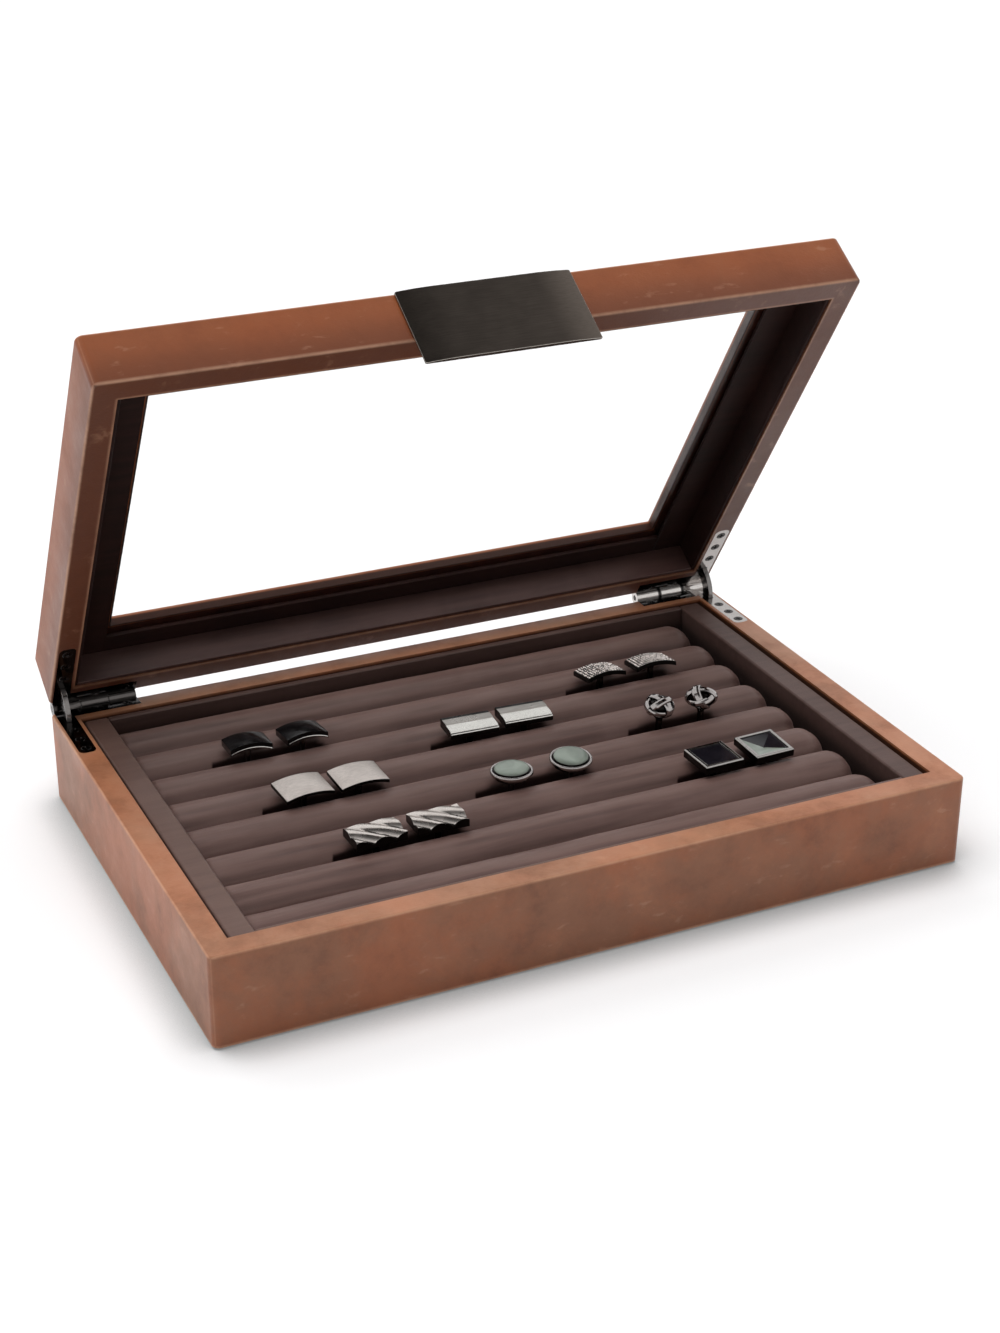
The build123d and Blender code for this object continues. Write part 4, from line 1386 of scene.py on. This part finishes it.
def addBand(bm, size, first, second, third):
    # one ribbon round the knot, riding over and under the two bands that it crosses
    section = [(-across, level) for across, level in size["section"]] + list(size["section"][::-1])
    press = size["halfHeight"] / size["radius"]
    rings = []
    for k, (x, y) in enumerate(circle(size["steps"])):
        lift = size["weave"] * (math.cos(4 * math.pi * k / size["steps"]) - 1) / 2
        ring = []
        for across, level in section:
            reach = size["radius"] - 0.1 + lift - (across ** 2) - size["bandThickness"] * (1 - level)
            p = (first * x + second * y) * reach + third * (across * size["bandWidth"])
            ring.append(dot(bm, p.x, p.y, p.z * press + faceBase + size["halfHeight"]))
        rings.append(ring)
    count = len(section)
    for number, face in enumerate(joinRings(bm, rings + rings[:1])):
        # its sides and back are dark
        face.material_index = 1 if number % count in (0, count - 2, count - 1) else 0


def addKnot(bm, size, member):
    about, tip = size["spins"][member]
    spin = spinAbout("Z", about, 3) @ spinAbout("X", tip, 3)
    axes = [spin @ Vector(axis) for axis in ((1, 0, 0), (0, 1, 0), (0, 0, 1))]
    for k in range(3):
        addBand(bm, size, *axes[k:], *axes[:k])
    press = size["core"] * size["halfHeight"] / size["radius"]
    angles = [math.pi * k / 12 for k in range(13)]
    core = [(size["core"] * math.sin(a), -press * math.cos(a)) for a in angles]
    lathe(bm, [(radius, faceBase + size["halfHeight"] + height) for radius, height in core], 32, 1)
    bmesh.ops.recalc_face_normals(bm, faces=bm.faces)


for name, size, addFace in (
    ("bar", steppedBar, addSteppedBar), ("disc", discFace, addDisc), ("twist", twistBar, addTwist),
    ("square", squareFace, addSquare), ("knot", wovenKnot, addKnot),
):
    for member in (0, 1):
        makeCufflink(name, member, size, addFace)
print("cufflinks made:", 2 * len(pairPlaces))

# floor, light and camera
studio = {
    "floorSize": 6.0, "shown": (0.95, 0.95, 0.96, 1), "bounced": (0.96, 0.95, 0.93, 1), "lift": 0.17,
    "airLevel": 0.06, "paintedContactShadow": (0.40, 0.43, 0.44, 1), "contactReach": 0.019,
}


def floorMaterial():
    # paper that stays white where it is seen, keeps the box's shadow and adds a painted contact shadow near
    # it
    material, tree, _ = startMaterial("studioFloor")
    path = put(tree, "LightPath").outputs
    indirect = calc(tree, "MAXIMUM", path["Is Glossy Ray"], path["Is Transmission Ray"])
    seen = calc(tree, "MAXIMUM", path["Is Camera Ray"], indirect)
    # painted contact shadow: the seen floor darkens near the box
    near = put(tree, "AmbientOcclusion", {"Distance": studio["contactReach"]}, samples=8).outputs["AO"]
    shade = mixColour(tree, fade(tree, near, 0.42, 0.98), studio["paintedContactShadow"], studio["shown"])
    tone = mixColour(tree, seen, studio["bounced"], shade)
    paper = put(tree, "BsdfPrincipled", {"Base Color": tone, "Roughness": 0.9, "Specular IOR Level": 0.0})
    glow = put(tree, "Emission", {"Color": (1, 1, 1, 1), "Strength": 1.0})
    share = calc(tree, "MULTIPLY", seen, studio["lift"])
    mixed = put(tree, "MixShader", {0: share, 1: paper.outputs[0], 2: glow.outputs[0]})
    put(tree, "OutputMaterial", {"Surface": mixed.outputs[0]})
    return material


looks["studioFloor"] = floorMaterial()
bm = bmesh.new()
bmesh.ops.create_grid(bm, x_segments=8, y_segments=8, size=studio["floorSize"] / 2)
newPiece("studioFloor", bm, "studioFloor")

# air: white to the eye, and in metal white low down and on the right but dark overhead on the left
world = bpy.data.worlds.new("studioAir")
world.use_nodes = True
air = world.node_tree
air.nodes.clear()
path = put(air, "LightPath").outputs
across, _, height = split(air, put(air, "TexCoord").outputs["Generated"])
overhead = fade(air, height, 0.6, 0.96, 1.0, 0.06)
sideways = fade(air, across, 0.41, 0.56, 0.0, 0.9)
shown = calc(air, "MAXIMUM", path["Is Camera Ray"], path["Is Transmission Ray"])
glossy = calc(air, "MULTIPLY", path["Is Glossy Ray"], calc(air, "MAXIMUM", overhead, sideways))
strength = calc(air, "MAXIMUM", calc(air, "MAXIMUM", shown, glossy), studio["airLevel"])
backdrop = put(air, "Background", {"Color": (1, 1, 1, 1), "Strength": strength})
put(air, "OutputWorld", {"Surface": backdrop.outputs[0]})
bpy.context.scene.world = world


def hang(data, place, turn):
    holder = bpy.data.objects.new(data.name, data)
    holder.location = place
    holder.rotation_euler = turn
    bpy.context.scene.collection.objects.link(holder)
    return holder


def hangLamp(name, kind, place, turn, **settings):
    # lamps light the box but don't show in metal or glass
    lamp = bpy.data.lights.new(name, kind)
    for key, value in settings.items():
        setattr(lamp, key, value)
    holder = hang(lamp, place, turn)
    holder.visible_glossy = False
    holder.visible_transmission = False


# lamps: the broad one is even all over the floor, the softboxes only model the sides
broadLamp = {"turn": (-17, -8, 0), "level": 3.6, "softness": 80}
softboxes = {
    "leftSide": {
        "place": (-1.25, -0.25, 0.55), "aim": (0, 0, 0.05), "width": 0.9, "height": 0.9,
        "power": 0.8, "colour": (0.97, 0.98, 1),
    },
    "frontFill": {
        "place": (0.1, -1.2, 1.1), "aim": (0, -0.05, 0.02), "width": 1.2, "height": 0.8,
        "power": 1.5, "colour": (1, 0.97, 0.94),
    },
}
hangLamp(
    "broadLamp", "SUN", (0, 0, 0), [math.radians(a) for a in broadLamp["turn"]],
    energy=broadLamp["level"], angle=math.radians(broadLamp["softness"]),
)
for name, box in softboxes.items():
    facing = (Vector(box["aim"]) - Vector(box["place"])).to_track_quat("-Z", "Y").to_euler()
    hangLamp(
        name, "AREA", box["place"], facing, shape="RECTANGLE",
        size=box["width"], size_y=box["height"], energy=box["power"], color=box["colour"],
    )

view = {"place": (-0.3150, -0.6784, 0.4240), "yaw": 24.999, "down": 25.581, "roll": 0.136, "lens": 62.87}
lens = bpy.data.cameras.new("view")
lens.sensor_width = 36
lens.sensor_fit = "AUTO"
lens.lens = view["lens"]
lens.clip_start = 0.01
aim = spinAbout("Z", -view["yaw"], 3) @ spinAbout("X", 90 - view["down"], 3) @ spinAbout("Z", view["roll"], 3)
bpy.context.scene.camera = hang(lens, view["place"], aim.to_euler())
bpy.context.scene.view_settings.view_transform = "Standard"
print("studio ready")
